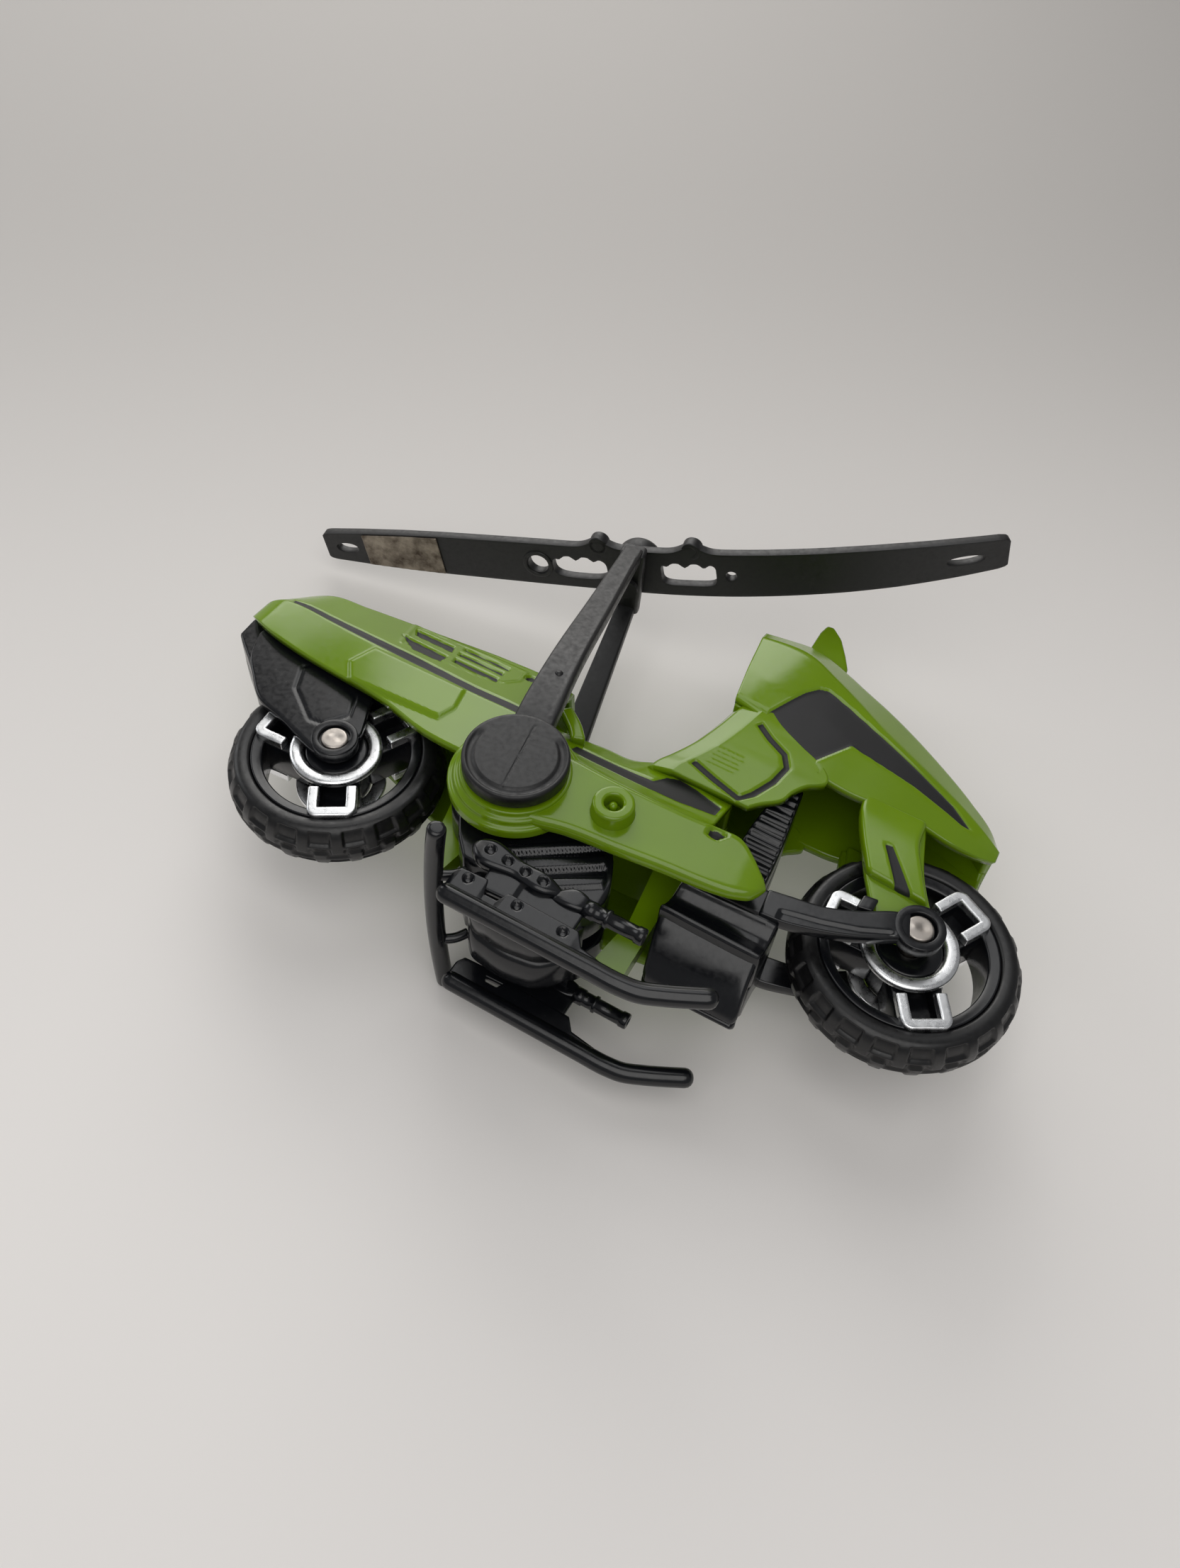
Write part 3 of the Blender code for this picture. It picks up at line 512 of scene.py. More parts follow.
TANK = [
    tank_row(37.0, -2.2, 14.6), tank_row(38.6, -1.7, 16.0), tank_row(40.7, -0.5, 18.3),
    tank_row(43.0, 0.7, 19.1), tank_row(45.0, 1.6, 20.4), tank_row(47.0, 2.3, 22.6, 8.95),
    tank_row(49.2, 3.0, 21.2, 8.9), tank_row(51.4, 3.6, 16.6, 8.85), tank_row(53.6, 4.1, 12.4, 8.8),
    tank_row(55.2, 4.4, 10.4, 8.7),
]
GRIP = [(9.7, 52.0), (12.2, 50.2), (15.2, 48.6), (16.5, 46.4), (15.9, 43.0), (14.3, 39.4), (12.8, 37.6),
        (8.2, 38.9), (4.4, 40.2)]
DOTS = []
for row in range(5):
    for column in range(6):
        dot = np.array([6.2 + column * 0.75 + (row % 2) * 0.35, 41.0 + row * 0.85])
        DOTS.append([dot + 0.2 * np.array([np.cos(a), np.sin(a)]) for a in np.arange(0, 6.2, 1.05)])


def ribbon(points, width):
    """Outline of a band of a width along an open line: the line shifted to either side."""
    points = np.asarray(points, float)
    ahead = np.gradient(points, axis=0)
    aside = np.stack([-ahead[:, 1], ahead[:, 0]], -1)
    aside *= width / 2 / np.linalg.norm(aside, axis=1, keepdims=True)
    return np.concatenate([points + aside, (points - aside)[::-1]])


GRIP_LINE = ribbon(GRIP, 1.0)
for label, side in SIDES:
    skin(
        "tank_" + label, side, TANK, ["body_shell_" + label], inks=[GRIP_LINE],
        dents=[(GRIP_LINE, -0.35, 0.2)] + [(dot, 0.14, 0.2) for dot in DOTS], grain=0.25,
    )


# ---------------------------------------------------------------- cowl, right and left
# The shell's screen and nose over the front wheel, open underneath, with a black fairing panel on
# its flank and the fin of the screen standing on its middle.
COWL = [
    [(1.9, SEAM, 73.5), (1.9, 5.4, 73.3), (2.1, 7.0, 70.4), (3.2, 8.2, 62.0), (4.3, 8.7, 55.0)],
    [(4.8, SEAM, 75.0), (4.8, 4.9, 74.3), (5.0, 7.5, 70.5), (6.0, 8.6, 61.0), (6.8, 8.9, 54.4)],
    path_at(9.5, [(SEAM, 77.0), (4.0, 75.8), (8.0, 70.2), (8.9, 60.0), (9.0, 53.6)]),
    path_at(16.5, [(SEAM, 76.0), (4.0, 73.5), (8.2, 67.0), (8.9, 59.0), (9.0, 50.6)]),
    path_at(20.5, [(SEAM, 73.7), (4.0, 71.7), (8.0, 65.0), (8.8, 57.4), (8.95, 48.0)]),
    path_at(25.0, [(SEAM, 71.2), (4.0, 69.7), (7.9, 62.4), (8.5, 56.0), (8.6, 47.4)]),
    path_at(35.0, [(SEAM, 65.2), (4.0, 64.1), (7.2, 58.0), (7.8, 53.0), (7.8, 48.6)]),
    path_at(42.0, [(SEAM, 60.3), (3.9, 59.4), (6.2, 55.2), (6.7, 51.8), (6.8, 48.2)]),
    path_at(46.4, [(SEAM, 56.6), (3.6, 55.9), (5.2, 53.2), (5.4, 51.2), (5.4, 49.2)]),
    path_at(48.4, [(SEAM, 54.0), (2.8, 53.7), (4.2, 52.6), (4.4, 51.6), (4.4, 50.4)]),
]
FAIRING = [(9.9, 54.9), (13.0, 61.7), (14.5, 63.7), (16.0, 64.2), (20.0, 62.9), (30.0, 59.0), (40.0, 54.8),
           (43.5, 52.5), (42.0, 52.3), (34.0, 54.2), (23.0, 55.7), (19.2, 49.4), (10.2, 53.8)]
CREASE = [(4.0, 55.4), (10.0, 54.6), (19.0, 49.6), (20.4, 48.6), (19.6, 47.6), (9.6, 53.4), (4.0, 54.2)]
for label, side in SIDES:
    skin(
        "cowl_" + label, side, COWL, ["body_shell_" + label],
        inks=[FAIRING], dents=[(FAIRING, -0.3, 0.2), (CREASE, -0.3, 0.5)],
    )


# ---------------------------------------------------------------- side beam, right and left
# A stout beam of the same green moulding runs from the mast's ring forward past the engine, with a
# slot in its pointed tip and a hollow peg on its face.
def bar(name, side, stations, edge, paint, slot, body, nodes, soft=True, grain=0.4, dents=(), inks=()):
    """Moulded bar through stations of (x1, z1, x2, z2, inner y, outer y): at each one the section is
    a rounded rectangle between two edge points and two depths, joined by smooth curves or, where not
    soft, by straight runs. The ends are rounded by edge too, and dents push the outer face."""
    rows = np.asarray(stations, float)
    middle = (rows[:, :2] + rows[:, 2:4]) / 2
    spots = np.concatenate([[0], np.cumsum(np.linalg.norm(np.diff(middle, axis=0), axis=-1))])
    total = spots[-1]
    round_in = edge * (1 - np.cos(np.linspace(0.0, np.pi / 2, 5)))
    plain = np.linspace(edge, total - edge, max(2, int((total - 2 * edge) / grain) + 1))
    where = np.concatenate([round_in[:-1], plain, total - round_in[-2::-1]])
    if soft:
        dense = through(spots, rows, where)
    else:
        dense = np.stack([np.interp(where, spots, rows[:, k]) for k in range(6)], -1)
    a, b = dense[:, None, 0:2], dense[:, None, 2:4]
    width = np.linalg.norm(b - a, axis=-1)
    unit = (b - a) / width[..., None]
    depth = dense[:, 5:] - dense[:, 4:5]
    radius = np.minimum(edge, 0.48 * np.minimum(width, depth))
    near_end = np.clip(np.minimum(where, total - where) / edge, 0, 1)[:, None]
    inset = radius * np.minimum(1 - np.sqrt(1 - (1 - near_end) ** 2), 0.95)
    left = radius - inset
    count = max(2, int(width.mean() / grain) + 1)
    face, turn = np.linspace(0, 1, count), np.linspace(0, np.pi, 9)[1:-1]
    still = np.zeros(count)
    across = np.concatenate([face, np.ones(7), face[::-1], np.zeros(7)])
    push = np.concatenate([still, np.sin(turn), still, -np.sin(turn)])
    lean = np.concatenate([still + 1, np.cos(turn), still - 1, -np.cos(turn)])
    offset = radius + across * (width - 2 * radius) + push * left
    y = (dense[:, 4:5] + dense[:, 5:]) / 2 + np.sign(np.round(lean, 6)) * (depth / 2 - radius)
    y = y + lean * left
    place = a + offset[..., None] * unit
    x, z = place[..., 0], place[..., 1]
    on_face = np.zeros(across.size)
    on_face[:count] = 1
    lift = np.zeros(x.shape)
    for outline, amount, blur in dents:
        lift += amount * ramp(inside(x, z, outline), blur) * on_face
    values = None
    if inks:
        values = np.full(x.shape, -1.0)
        for outline in inks:
            values = np.maximum(values, np.where(on_face > 0, np.clip(inside(x, z, outline), -1, 1), -1))
    points = np.stack([x, (y + lift) * side, z], -1)
    index = np.arange(x.size).reshape(x.shape)
    loops = np.concatenate([index, index[:, :1]], axis=1)
    caps = [index[0, ::-1], index[-1]]
    return finish(name, points, quads(loops), paint, slot, body, nodes, values, caps)


def spun(name, foot, axis, profile, paint, slot, body, nodes, count=72, shape=None):
    """Turned piece: a (radius, height) profile carried round an axis through a foot point. A profile
    that ends on the axis at both ends is capped there, and any other is closed on itself. shape may
    change the radii and heights with the angle."""
    axis = np.asarray(axis, float) / np.linalg.norm(axis)
    start = np.array([0.0, 1.0, 0.0]) if abs(axis[0]) > 0.9 else np.array([1.0, 0.0, 0.0])
    across = start - (start @ axis) * axis
    across /= np.linalg.norm(across)
    third = np.cross(axis, across)
    if third[2] < 0:
        third = -third
    radius, height = np.asarray(profile, float).T
    angle = (np.arange(count) * 2 * np.pi / count)[:, None]
    r, h = np.tile(radius, (count, 1)), np.tile(height, (count, 1))
    if shape is not None:
        r, h = shape(angle, r, h)
    points = (
        np.asarray(foot, float)
        + (r * np.cos(angle))[..., None] * across
        + (r * np.sin(angle))[..., None] * third
        + h[..., None] * axis
    )
    index = np.arange(r.size).reshape(r.shape)
    wrapped = np.concatenate([index, index[:1]], axis=0)
    caps = ()
    if radius[0] < 0.1 and radius[-1] < 0.1:
        caps = (index[:, 0], index[::-1, -1])
        faces = quads(wrapped)
    else:
        faces = quads(np.concatenate([wrapped, wrapped[:, :1]], axis=1))
    return finish(name, points, faces, paint, slot, body, nodes, None, caps)


def lateral(centre, side):
    """Foot and axis of a piece turned about the lateral line through an (x, z) centre."""
    return (centre[0], 0.0, centre[1]), (0.0, side, 0.0)


def arcs(corners, radius, steps=4):
    """Closed profile with each corner rounded: points along a curve between two cuts beside it."""
    corners = np.asarray(corners, float)
    rounded = []
    for i, corner in enumerate(corners):
        before, after = corners[i - 1] - corner, corners[(i + 1) % len(corners)] - corner
        reach = min(radius, 0.45 * np.linalg.norm(before), 0.45 * np.linalg.norm(after))
        start = corner + before / np.linalg.norm(before) * reach
        end = corner + after / np.linalg.norm(after) * reach
        for t in np.linspace(0, 1, steps):
            rounded.append(start * (1 - t) ** 2 + corner * 2 * t * (1 - t) + end * t * t)
    return rounded


BEAM = [
    (-20.0, 16.8, -20.0, 28.0, 11.0, 13.4),
    (-14.0, 15.6, -14.0, 28.3, 11.0, 13.6),
    (-8.4, 15.9, -8.4, 28.3, 11.2, 13.8),
    (-4.4, 16.9, -4.4, 28.1, 11.2, 13.8),
    (3.5, 17.8, 3.5, 28.1, 11.2, 13.7),
    (10.2, 18.7, 10.2, 28.4, 11.0, 13.5),
    (14.4, 19.1, 14.0, 28.8, 10.9, 13.4),
    (17.6, 19.6, 17.0, 28.8, 10.8, 13.2),
    (20.0, 20.3, 19.4, 27.2, 10.7, 13.0),
    (21.8, 21.4, 21.4, 25.4, 10.7, 12.7),
    (22.9, 23.0, 22.8, 24.2, 10.9, 12.3),
]
TIP_SLOT = [(12.6, 26.6), (14.0, 26.4), (15.4, 28.4), (16.6, 30.5), (14.0, 31.0), (12.6, 29.0)]
PEG = (0.2, 22.7)


def flared(angle, r, h):
    """The peg flares at its foot, by a bell curve of the height above the beam's face."""
    return r + 0.35 * np.exp(-((h - 13.4) ** 2) / 0.25) * (r > 2), h


for label, side in SIDES:
    shell = ["body_shell_" + label]
    bar("beam_" + label, side, BEAM, 1.1, *GREEN_PART, shell, inks=[TIP_SLOT], grain=0.4,
        dents=[(TIP_SLOT, -0.9, 0.25)])
    wall = arcs([(1.3, 13.4), (2.9, 13.4), (2.9, 16.0), (1.3, 16.0)], 0.45)
    spun("peg_" + label, *lateral(PEG, side), wall, *GREEN_PART, shell, 48, flared)
    pin = [(0.02, 13.3), (0.6, 13.3), (0.6, 15.1), (0.45, 15.45), (0.02, 15.6)]
    spun("peg_pin_" + label, *lateral(PEG, side), pin, *GREEN_PART, shell, 24)


# ---------------------------------------------------------------- mast ring, right and left
# The shell stands out round the mast's pivot in three turned steps, which carry the black disc.
RING = arcs(
    [(2.3, 10.6), (9.4, 10.6), (9.4, 12.3), (8.6, 12.5), (8.6, 13.3), (7.8, 13.5), (7.8, 14.2), (2.3, 14.2)],
    0.35,
)
for label, side in SIDES:
    spun("mast_ring_" + label, *lateral(PIVOT[[0, 2]], side), RING, *GREEN_PART,
         ["body_shell_" + label], 96)


# ---------------------------------------------------------------- front fork, fin, screen and finger
# Legs of the green shell that reach down to the front axle, each a thick outer top on a thin inner
# plate, with a printed black line. The screen's fin and back wall and the fingers that stop the mast
# are moulded on too.
LEG_TOP = [
    (27.8, 49.0, 37.6, 49.0, 6.0, 8.3),
    (28.6, 45.6, 38.0, 44.4, 6.0, 8.5),
    (30.4, 41.6, 39.8, 40.4, 6.0, 8.5),
    (32.2, 38.4, 41.4, 37.4, 6.0, 8.3),
    (33.2, 36.6, 42.4, 35.8, 6.0, 8.1),
]
LEG_PLATE = [
    (28.4, 49.5, 37.6, 49.5, 5.4, 6.9),
    (31.6, 39.8, 40.8, 40.0, 5.4, 6.9),
    (34.0, 35.2, 43.6, 35.0, 5.4, 6.9),
    (36.8, 31.0, 45.2, 32.0, 5.4, 6.9),
    (39.2, 28.8, 45.0, 29.6, 5.4, 6.9),
]
LEG_LINE = [(33.6, 41.8), (34.8, 42.0), (40.4, 35.3), (38.9, 33.9)]
FIN = [
    (8.4, 73.5, 16.3, 73.5, 0.15, 1.3),
    (8.4, 77.0, 15.6, 77.4, 0.15, 1.25),
    (8.4, 80.0, 14.2, 80.0, 0.15, 1.2),
    (8.4, 83.0, 12.2, 83.2, 0.15, 1.1),
    (8.8, 85.2, 9.9, 85.4, 0.15, 0.9),
]
SCREEN_BACK = [
    (4.5, 54.4, 6.0, 54.4, SEAM, 7.6), (3.4, 60.5, 5.0, 60.5, SEAM, 7.6),
    (2.4, 67.0, 4.0, 67.0, SEAM, 6.9), (2.0, 72.6, 3.8, 73.0, SEAM, 5.3),
]
FINGER = [
    (-16.8, 38.5, -15.4, 39.7, 7.2, 9.2), (-13.6, 35.7, -12.2, 37.1, 7.2, 9.2),
    (-12.6, 34.3, -10.6, 35.2, 7.2, 9.2),
]
for label, side in SIDES:
    shell = ["body_shell_" + label]
    bar("leg_top_" + label, side, LEG_TOP, 0.7, *GREEN_PART, shell, inks=[LEG_LINE],
        dents=[(LEG_LINE, -0.3, 0.2)], grain=0.3)
    bar("leg_plate_" + label, side, LEG_PLATE, 0.5, *GREEN_PART, shell)
    bar("screen_back_" + label, side, SCREEN_BACK, 0.3, *GREEN_PART, shell)
    bar("fin_" + label, side, FIN, 0.5, *GREEN_PART, shell, soft=False)
    bar("finger_" + label, side, FINGER, 0.5, *GREEN_PART, shell)


# ---------------------------------------------------------------- inner frame
# The flat green plate on the middle line that both shells close on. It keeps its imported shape.
def repaint(node, paint):
    """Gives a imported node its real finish."""
    materials = frame["nodes"][node].data.materials
    materials.clear()
    materials.append(paint)


repaint("inner_frame", GREEN)


# ---------------------------------------------------------------- mast
# One matt black moulding that straddles the tail: a disc on each side of the pivot, two flat arms
# that lean in and a crown across their tops, which holds the rotor's pin.
MATT = plastic(
    "matt_black_plastic", (0.007, 0.007, 0.0075), 0.42, ripple=0.006, ripple_size=0.8, wear=0.02
)
LEAN = np.radians(10.7)
MAST_PART = (MATT, "matt_black_plastic", "mast")
ROTOR_PART = (MATT, "matt_black_plastic", "rotor")
MAST_UP = np.array([-np.sin(LEAN), np.cos(LEAN)])
MAST_AHEAD = np.array([MAST_UP[1], -MAST_UP[0]])
DISC_R = 7.4


def on_mast(height, ahead=0.0):
    """(x, z) at a height above the pivot and ahead of the mast's middle."""
    return PIVOT[[0, 2]] + height * MAST_UP + ahead * MAST_AHEAD


def disc_face(angle, r, h):
    """A groove runs two thirds of the way round the face, and a fine mould line crosses it."""
    turn = np.degrees(angle)
    part = 1 - ramp(60 - np.abs(turn - 112), 8)
    groove = ramp(r - 5.85, 0.15) * ramp(6.75 - r, 0.15) * part
    line = np.abs(r * np.cos(angle - np.radians(8.6)) - 0.4) < 0.14
    face = h > 16.9
    return r, h - face * (0.28 * groove + 0.07 * line * (r < 5.8))


DISC = [(r, 17.1) for r in np.linspace(0.03, DISC_R - 0.45, 34)] + [
    (DISC_R - 0.2, 17.03), (DISC_R - 0.05, 16.85), (DISC_R, 16.6), (DISC_R, 15.0), (DISC_R - 0.3, 14.6),
    (2.4, 14.6), (0.03, 14.6),
]
# The arm's height, middle y and half width at its stations.
ARM_SPOTS = ((3.5, 15.5, 2.9), (10, 15.6, 2.85), (18.5, 14.9, 2.55), (38.8, 10.2, 2.05), (57, 5.9, 1.6))
ARM = [(*on_mast(h, -w), *on_mast(h, w), y - 1.2, y + 1.2) for h, y, w in ARM_SPOTS]
CROWN = [(*on_mast(h, -w), *on_mast(h, w), -6.8, 6.8) for h, w in ((55.2, 2.2), (56.7, 2.25), (58.2, 2.0))]
ARM_LINE = [tuple(on_mast(h, a)) for h, a in ((8, 1.9), (8, 2.2), (54, 1.15), (54, 0.95))]
NUB = [(0.02, 15.6), (0.65, 15.6), (0.62, 16.3), (0.4, 16.55), (0.02, 16.6)]
for label, side in SIDES:
    spun("mast_disc_" + label, *lateral(PIVOT[[0, 2]], side), DISC, *MAST_PART,
         ["mast_fork"], 220, disc_face)
    bar("mast_arm_" + label, side, ARM, 0.5, *MAST_PART, ["mast_fork"],
        dents=[(ARM_LINE, 0.12, 0.2)], grain=0.3)
    spun("mast_nub_" + label, *lateral(on_mast(16.8, 0.2), side), NUB, *MAST_PART, ["mast_fork"], 20)
bar("mast_crown", 1, CROWN, 0.6, *MAST_PART, ["mast_fork"])
repaint("rotor_pin", MATT)


# ---------------------------------------------------------------- rotor
# One long matt black blade, moulded in one, that turns on the mast's pin. Its front half has warped
# upwards. It has two windows, two round holes and two slots on its middle line, two small eyelets on
# one edge and a round boss on top.
BLADE_LENGTH = 61.0
WARP = 12.7
TURN = np.radians(-12.7)
rotor_fore = np.array([ROTOR_AXIS[2], 0.0, -ROTOR_AXIS[0]])
ALONG = rotor_fore * np.cos(TURN) + np.array([0.0, np.sin(TURN), 0.0])
BESIDE = -rotor_fore * np.sin(TURN) + np.array([0.0, np.cos(TURN), 0.0])


def rotor_place(along, beside, up):
    """Toy-frame points from distances along the blade, across it and above its plane. Ahead of the
    hub the blade rises by WARP times (along / length) squared."""
    along, beside, up = np.broadcast_arrays(along, beside, up)
    rise = WARP * (np.clip(along, 0, None) / BLADE_LENGTH) ** 2
    return (
        HUB + along[..., None] * ALONG + beside[..., None] * BESIDE
        + (up + rise)[..., None] * ROTOR_AXIS
    )


def blade_half(along):
    """Half of the blade's width, from the boss out to the slanted tip."""
    spots = [0.0, 17.0, 26.0, 36.0, 44.0, 53.0, 59.6, 60.6, 61.0]
    return np.interp(np.abs(along), spots, [4.55, 4.5, 4.4, 4.25, 4.0, 3.5, 3.0, 2.75, 2.4])


# Openings on the middle line: (middle, half length, offset across, half width, squareness).
OPENINGS = [
    (9.7, 4.8, -0.05, 2.4, 5), (-10.0, 5.1, 0.1, 2.4, 3.2), (17.0, 1.0, 0.0, 1.0, 2),
    (-17.9, 1.9, 0.0, 1.9, 2), (54.4, 3.0, 0.2, 0.9, 2.2), (-56.4, 2.3, 0.1, 1.1, 2.2),
]
EYELETS = (-6.0, 10.5)


def near_edge(along):
    """The blade's edge on the eyelets' side: its half width and, beside each eyelet, a swelling of
    1.5 exp(-(distance / 2.4) squared)."""
    swell = sum(1.5 * np.exp(-(((along - spot) / 2.4) ** 2)) for spot in EYELETS)
    return blade_half(along) + swell


def opening_edges(along):
    """Lower and upper edge of the openings. Each is a superellipse about its middle, and the two
    windows, the squarest, have bumps along their lower edge."""
    low, high = np.zeros(along.shape), np.zeros(along.shape)
    for middle, half_length, offset, half_width, square in OPENINGS:
        part = np.clip(1 - np.abs((along - middle) / half_length) ** square, 0, None)
        reach = half_width * part ** (1 / square)
        bumps = 0.9 * np.cos((along - middle) * 0.95 + 0.5) ** 4 * (square > 3) * part
        low += np.where(part > 0, offset - reach + bumps, 0)
        high += np.where(part > 0, offset + reach, 0)
    return low, high


def blade_sheet():
    """The blade's middle surface: two strips of points, below and above its openings, that share
    their inner edge wherever nothing is open."""
    along = np.linspace(-BLADE_LENGTH, BLADE_LENGTH, 330)
    for middle, half_length, _, _, square in OPENINGS:
        turn = half_length * np.sin(np.linspace(-np.pi / 2, np.pi / 2, 29))
        along = np.concatenate([along[np.abs(along - middle) > half_length + 0.1], middle + turn])
    along = np.sort(along)
    low, high = opening_edges(along)
    half = blade_half(along)
    t = np.linspace(0, 1, 9)
    below = -near_edge(along)[:, None] * (1 - t) + low[:, None] * t
    above = high[:, None] * (1 - t) + half[:, None] * t
    points = rotor_place(along[:, None], np.concatenate([below, above], axis=1), 0.0)
    index = np.arange(along.size * 18).reshape(along.size, 18)
    closed = high - low < 1e-6
    index[closed, 9] = index[closed, 8]
    faces = np.concatenate([quads(index[:, :9]), quads(index[:, 9:])])
    used, faces = np.unique(faces, return_inverse=True)
    return points.reshape(-1, 3)[used], faces.reshape(-1, 4)


blade = finish("rotor_blade", *blade_sheet(), *ROTOR_PART, ["rotor"])
thick = blade.modifiers.new("thickness", "SOLIDIFY")
thick.thickness = 0.0016
thick.offset = 0.0
edge = blade.modifiers.new("edge", "BEVEL")
edge.width = 0.00028
edge.segments = 2
edge.limit_method = "ANGLE"
edge.angle_limit = np.radians(50)
boss = [(1.5, -0.7), (3.9, -0.7), (3.9, 3.6), (3.6, 4.2), (3.1, 4.4), (1.9, 4.4), (1.5, 4.1)]
spun("rotor_boss", HUB, ROTOR_AXIS, boss, *ROTOR_PART, ["rotor"], 64)
eyelet = arcs([(0.75, -0.8), (1.7, -0.8), (1.7, 1.3), (0.75, 1.3)], 0.25)
for k, along in enumerate(EYELETS):
    foot = rotor_place(np.array(along), np.array(-5.0), np.array(0.0))
    spun("rotor_eyelet_%d" % (k + 1), foot, ROTOR_AXIS, eyelet, *ROTOR_PART, ["rotor"], 32)
rim_line = arcs([(2.0, 0.6), (2.9, 0.6), (2.8, 1.05), (2.1, 1.05)], 0.15)
spun("rotor_hole_rim", rotor_place(np.array(-17.9), np.array(0.0), np.array(0.0)), -ROTOR_AXIS, rim_line,
     *ROTOR_PART, ["rotor"], 40)


# ---------------------------------------------------------------- foil strip
# A strip of brown and silver foil stuck under the rear blade, rubbed and lifting in small bubbles.
def two_tone(tree, start, low, end, high):
    """A blend from one colour at start to another at end."""
    tones = add(tree, "ShaderNodeValToRGB")
    first, last = tones.color_ramp.elements
    first.position = start
    first.color = (*low, 1)
    last.position = end
    last.color = (*high, 1)
    return tones


def foil_material():
    """Foil that has gone brown in patches, with bare silver scratches."""
    paint, tree, shader = nodes_of("worn_foil")
    place = add(tree, "ShaderNodeTexCoord")
    stain = add(tree, "ShaderNodeTexNoise", Scale=260.0, Detail=6.0, Roughness=0.65)
    tones = two_tone(tree, 0.35, (0.05, 0.032, 0.018), 0.66, (0.34, 0.29, 0.23))
    bump = add(tree, "ShaderNodeBump", Strength=0.6, Distance=0.0001)
    tree.links.new(place.outputs["Object"], stain.inputs["Vector"])
    tree.links.new(stain.outputs["Fac"], tones.inputs["Fac"])
    tree.links.new(stain.outputs["Fac"], bump.inputs["Height"])
    tree.links.new(tones.outputs["Color"], shader.inputs["Base Color"])
    tree.links.new(bump.outputs["Normal"], shader.inputs["Normal"])
    shader.inputs["Roughness"].default_value = 0.38
    shader.inputs["Metallic"].default_value = 0.45
    return paint


FOIL = foil_material()
FOIL_ENDS = (-52.4, -37.0)
foil_along = np.linspace(*FOIL_ENDS, 60)
foil_across = np.linspace(-1, 1, 34)
foil_half = blade_half(foil_along)[:, None] - 0.25
bubbles = 0.05 * np.sin(foil_along[:, None] * 1.7 + foil_across * 4) * np.cos(foil_across * 3.1)
foil_low = rotor_place(foil_along[:, None], foil_across * foil_half, -1.12 - np.abs(bubbles))
foil_high = rotor_place(foil_along[:, None], foil_across * foil_half, -0.82 + 0 * bubbles)
foil_index = np.arange(foil_low[..., 0].size).reshape(foil_low.shape[:2])
finish(
    "foil_strip", np.concatenate([foil_low.reshape(-1, 3), foil_high.reshape(-1, 3)]),
    two_sided(foil_index), FOIL, "worn_foil", "rotor", ["blade_sticker"],
)


# ---------------------------------------------------------------- pod, right and left
# Glossy blue-black moulding under the pivot, in two halves: a drum on the axle, a ribbed case and a
# smooth belly with a fine groove across it.
BLACK = plastic(
    "black_plastic", (0.0045, 0.005, 0.0065), 0.21, ripple=0.01, ripple_size=1.8, spread=0.1, wear=0.012
)
BLACK_PART = (BLACK, "black_plastic", "toy")
DRUM = [(0.03, 9.0), (4.6, 9.0), (4.8, 8.85), (5.4, 8.85), (5.6, 9.0), (8.3, 9.0), (8.75, 8.8), (8.9, 8.4),
        (8.9, 2.2), (8.6, 1.8), (0.03, 1.8)]
CASE = [
    (-20.5, 16.9, -20.3, 17.7, 1.8, 8.8), (-19.4, 15.0, -18.8, 19.6, 1.8, 9.0),
    (-17.1, 11.4, -16.4, 21.0, 1.8, 9.0), (-14.6, 8.7, -14.2, 21.2, 1.8, 9.0),
    (-8.0, 8.4, -8.0, 21.1, 1.8, 9.0), (-3.0, 8.4, -3.0, 21.0, 1.8, 9.0), (1.9, 8.5, 1.9, 20.5, 1.8, 9.0),
    (3.3, 8.9, 3.0, 18.8, 1.8, 9.0), (4.2, 10.4, 4.0, 16.6, 1.8, 9.0), (5.0, 12.4, 4.9, 14.0, 1.8, 8.8),
]
# Three raised ledges slope across the case, and a fine groove runs under the first two.
LEDGES = [
    [(-10.6, 13.2), (-9.4, 12.6), (0.9, 20.0), (0.2, 21.0)],
    [(-7.6, 12.8), (-6.4, 11.0), (2.6, 17.4), (1.8, 18.9)],
    [(-3.0, 11.8), (-2.2, 10.2), (3.7, 14.4), (3.4, 16.0)],
]
LEDGE_GROOVES = [
    [(-9.4, 12.6), (-9.1, 12.1), (1.3, 19.5), (0.9, 20.0)],
    [(-6.4, 11.0), (-6.1, 10.5), (3.0, 16.9), (2.6, 17.4)],
]
BELLY = [
    (-13.4, 8.4, -13.2, 9.6, 0.15, 6.4), (-12.4, 6.2, -12.2, 10.4, 0.15, 7.2),
    (-10.6, 3.9, -10.4, 10.5, 0.15, 7.4), (-8.0, 3.2, -8.0, 10.5, 0.15, 7.4),
    (-3.0, 3.2, -3.0, 10.5, 0.15, 7.4), (0.4, 4.2, 0.4, 10.5, 0.15, 7.2),
    (2.6, 6.4, 2.4, 10.4, 0.15, 6.8), (3.9, 9.0, 3.8, 10.0, 0.15, 6.2),
]
BELLY_GROOVE = [(-13.0, 7.2), (4.0, 7.2), (4.0, 6.85), (-13.0, 6.85)]
for label, side in SIDES:
    half = ["pod_" + label]
    spun("pod_drum_" + label, *lateral(PIVOT[[0, 2]], side), DRUM, *BLACK_PART, half, 120)
    bar("pod_case_" + label, side, CASE, 0.55, *BLACK_PART, half, soft=False, grain=0.28,
        dents=[(o, 0.45, 0.2) for o in LEDGES] + [(o, -0.4, 0.15) for o in LEDGE_GROOVES])
    bar("pod_belly_" + label, side, BELLY, 1.6, *BLACK_PART, half, grain=0.35,
        dents=[(BELLY_GROOVE, -0.25, 0.2)])


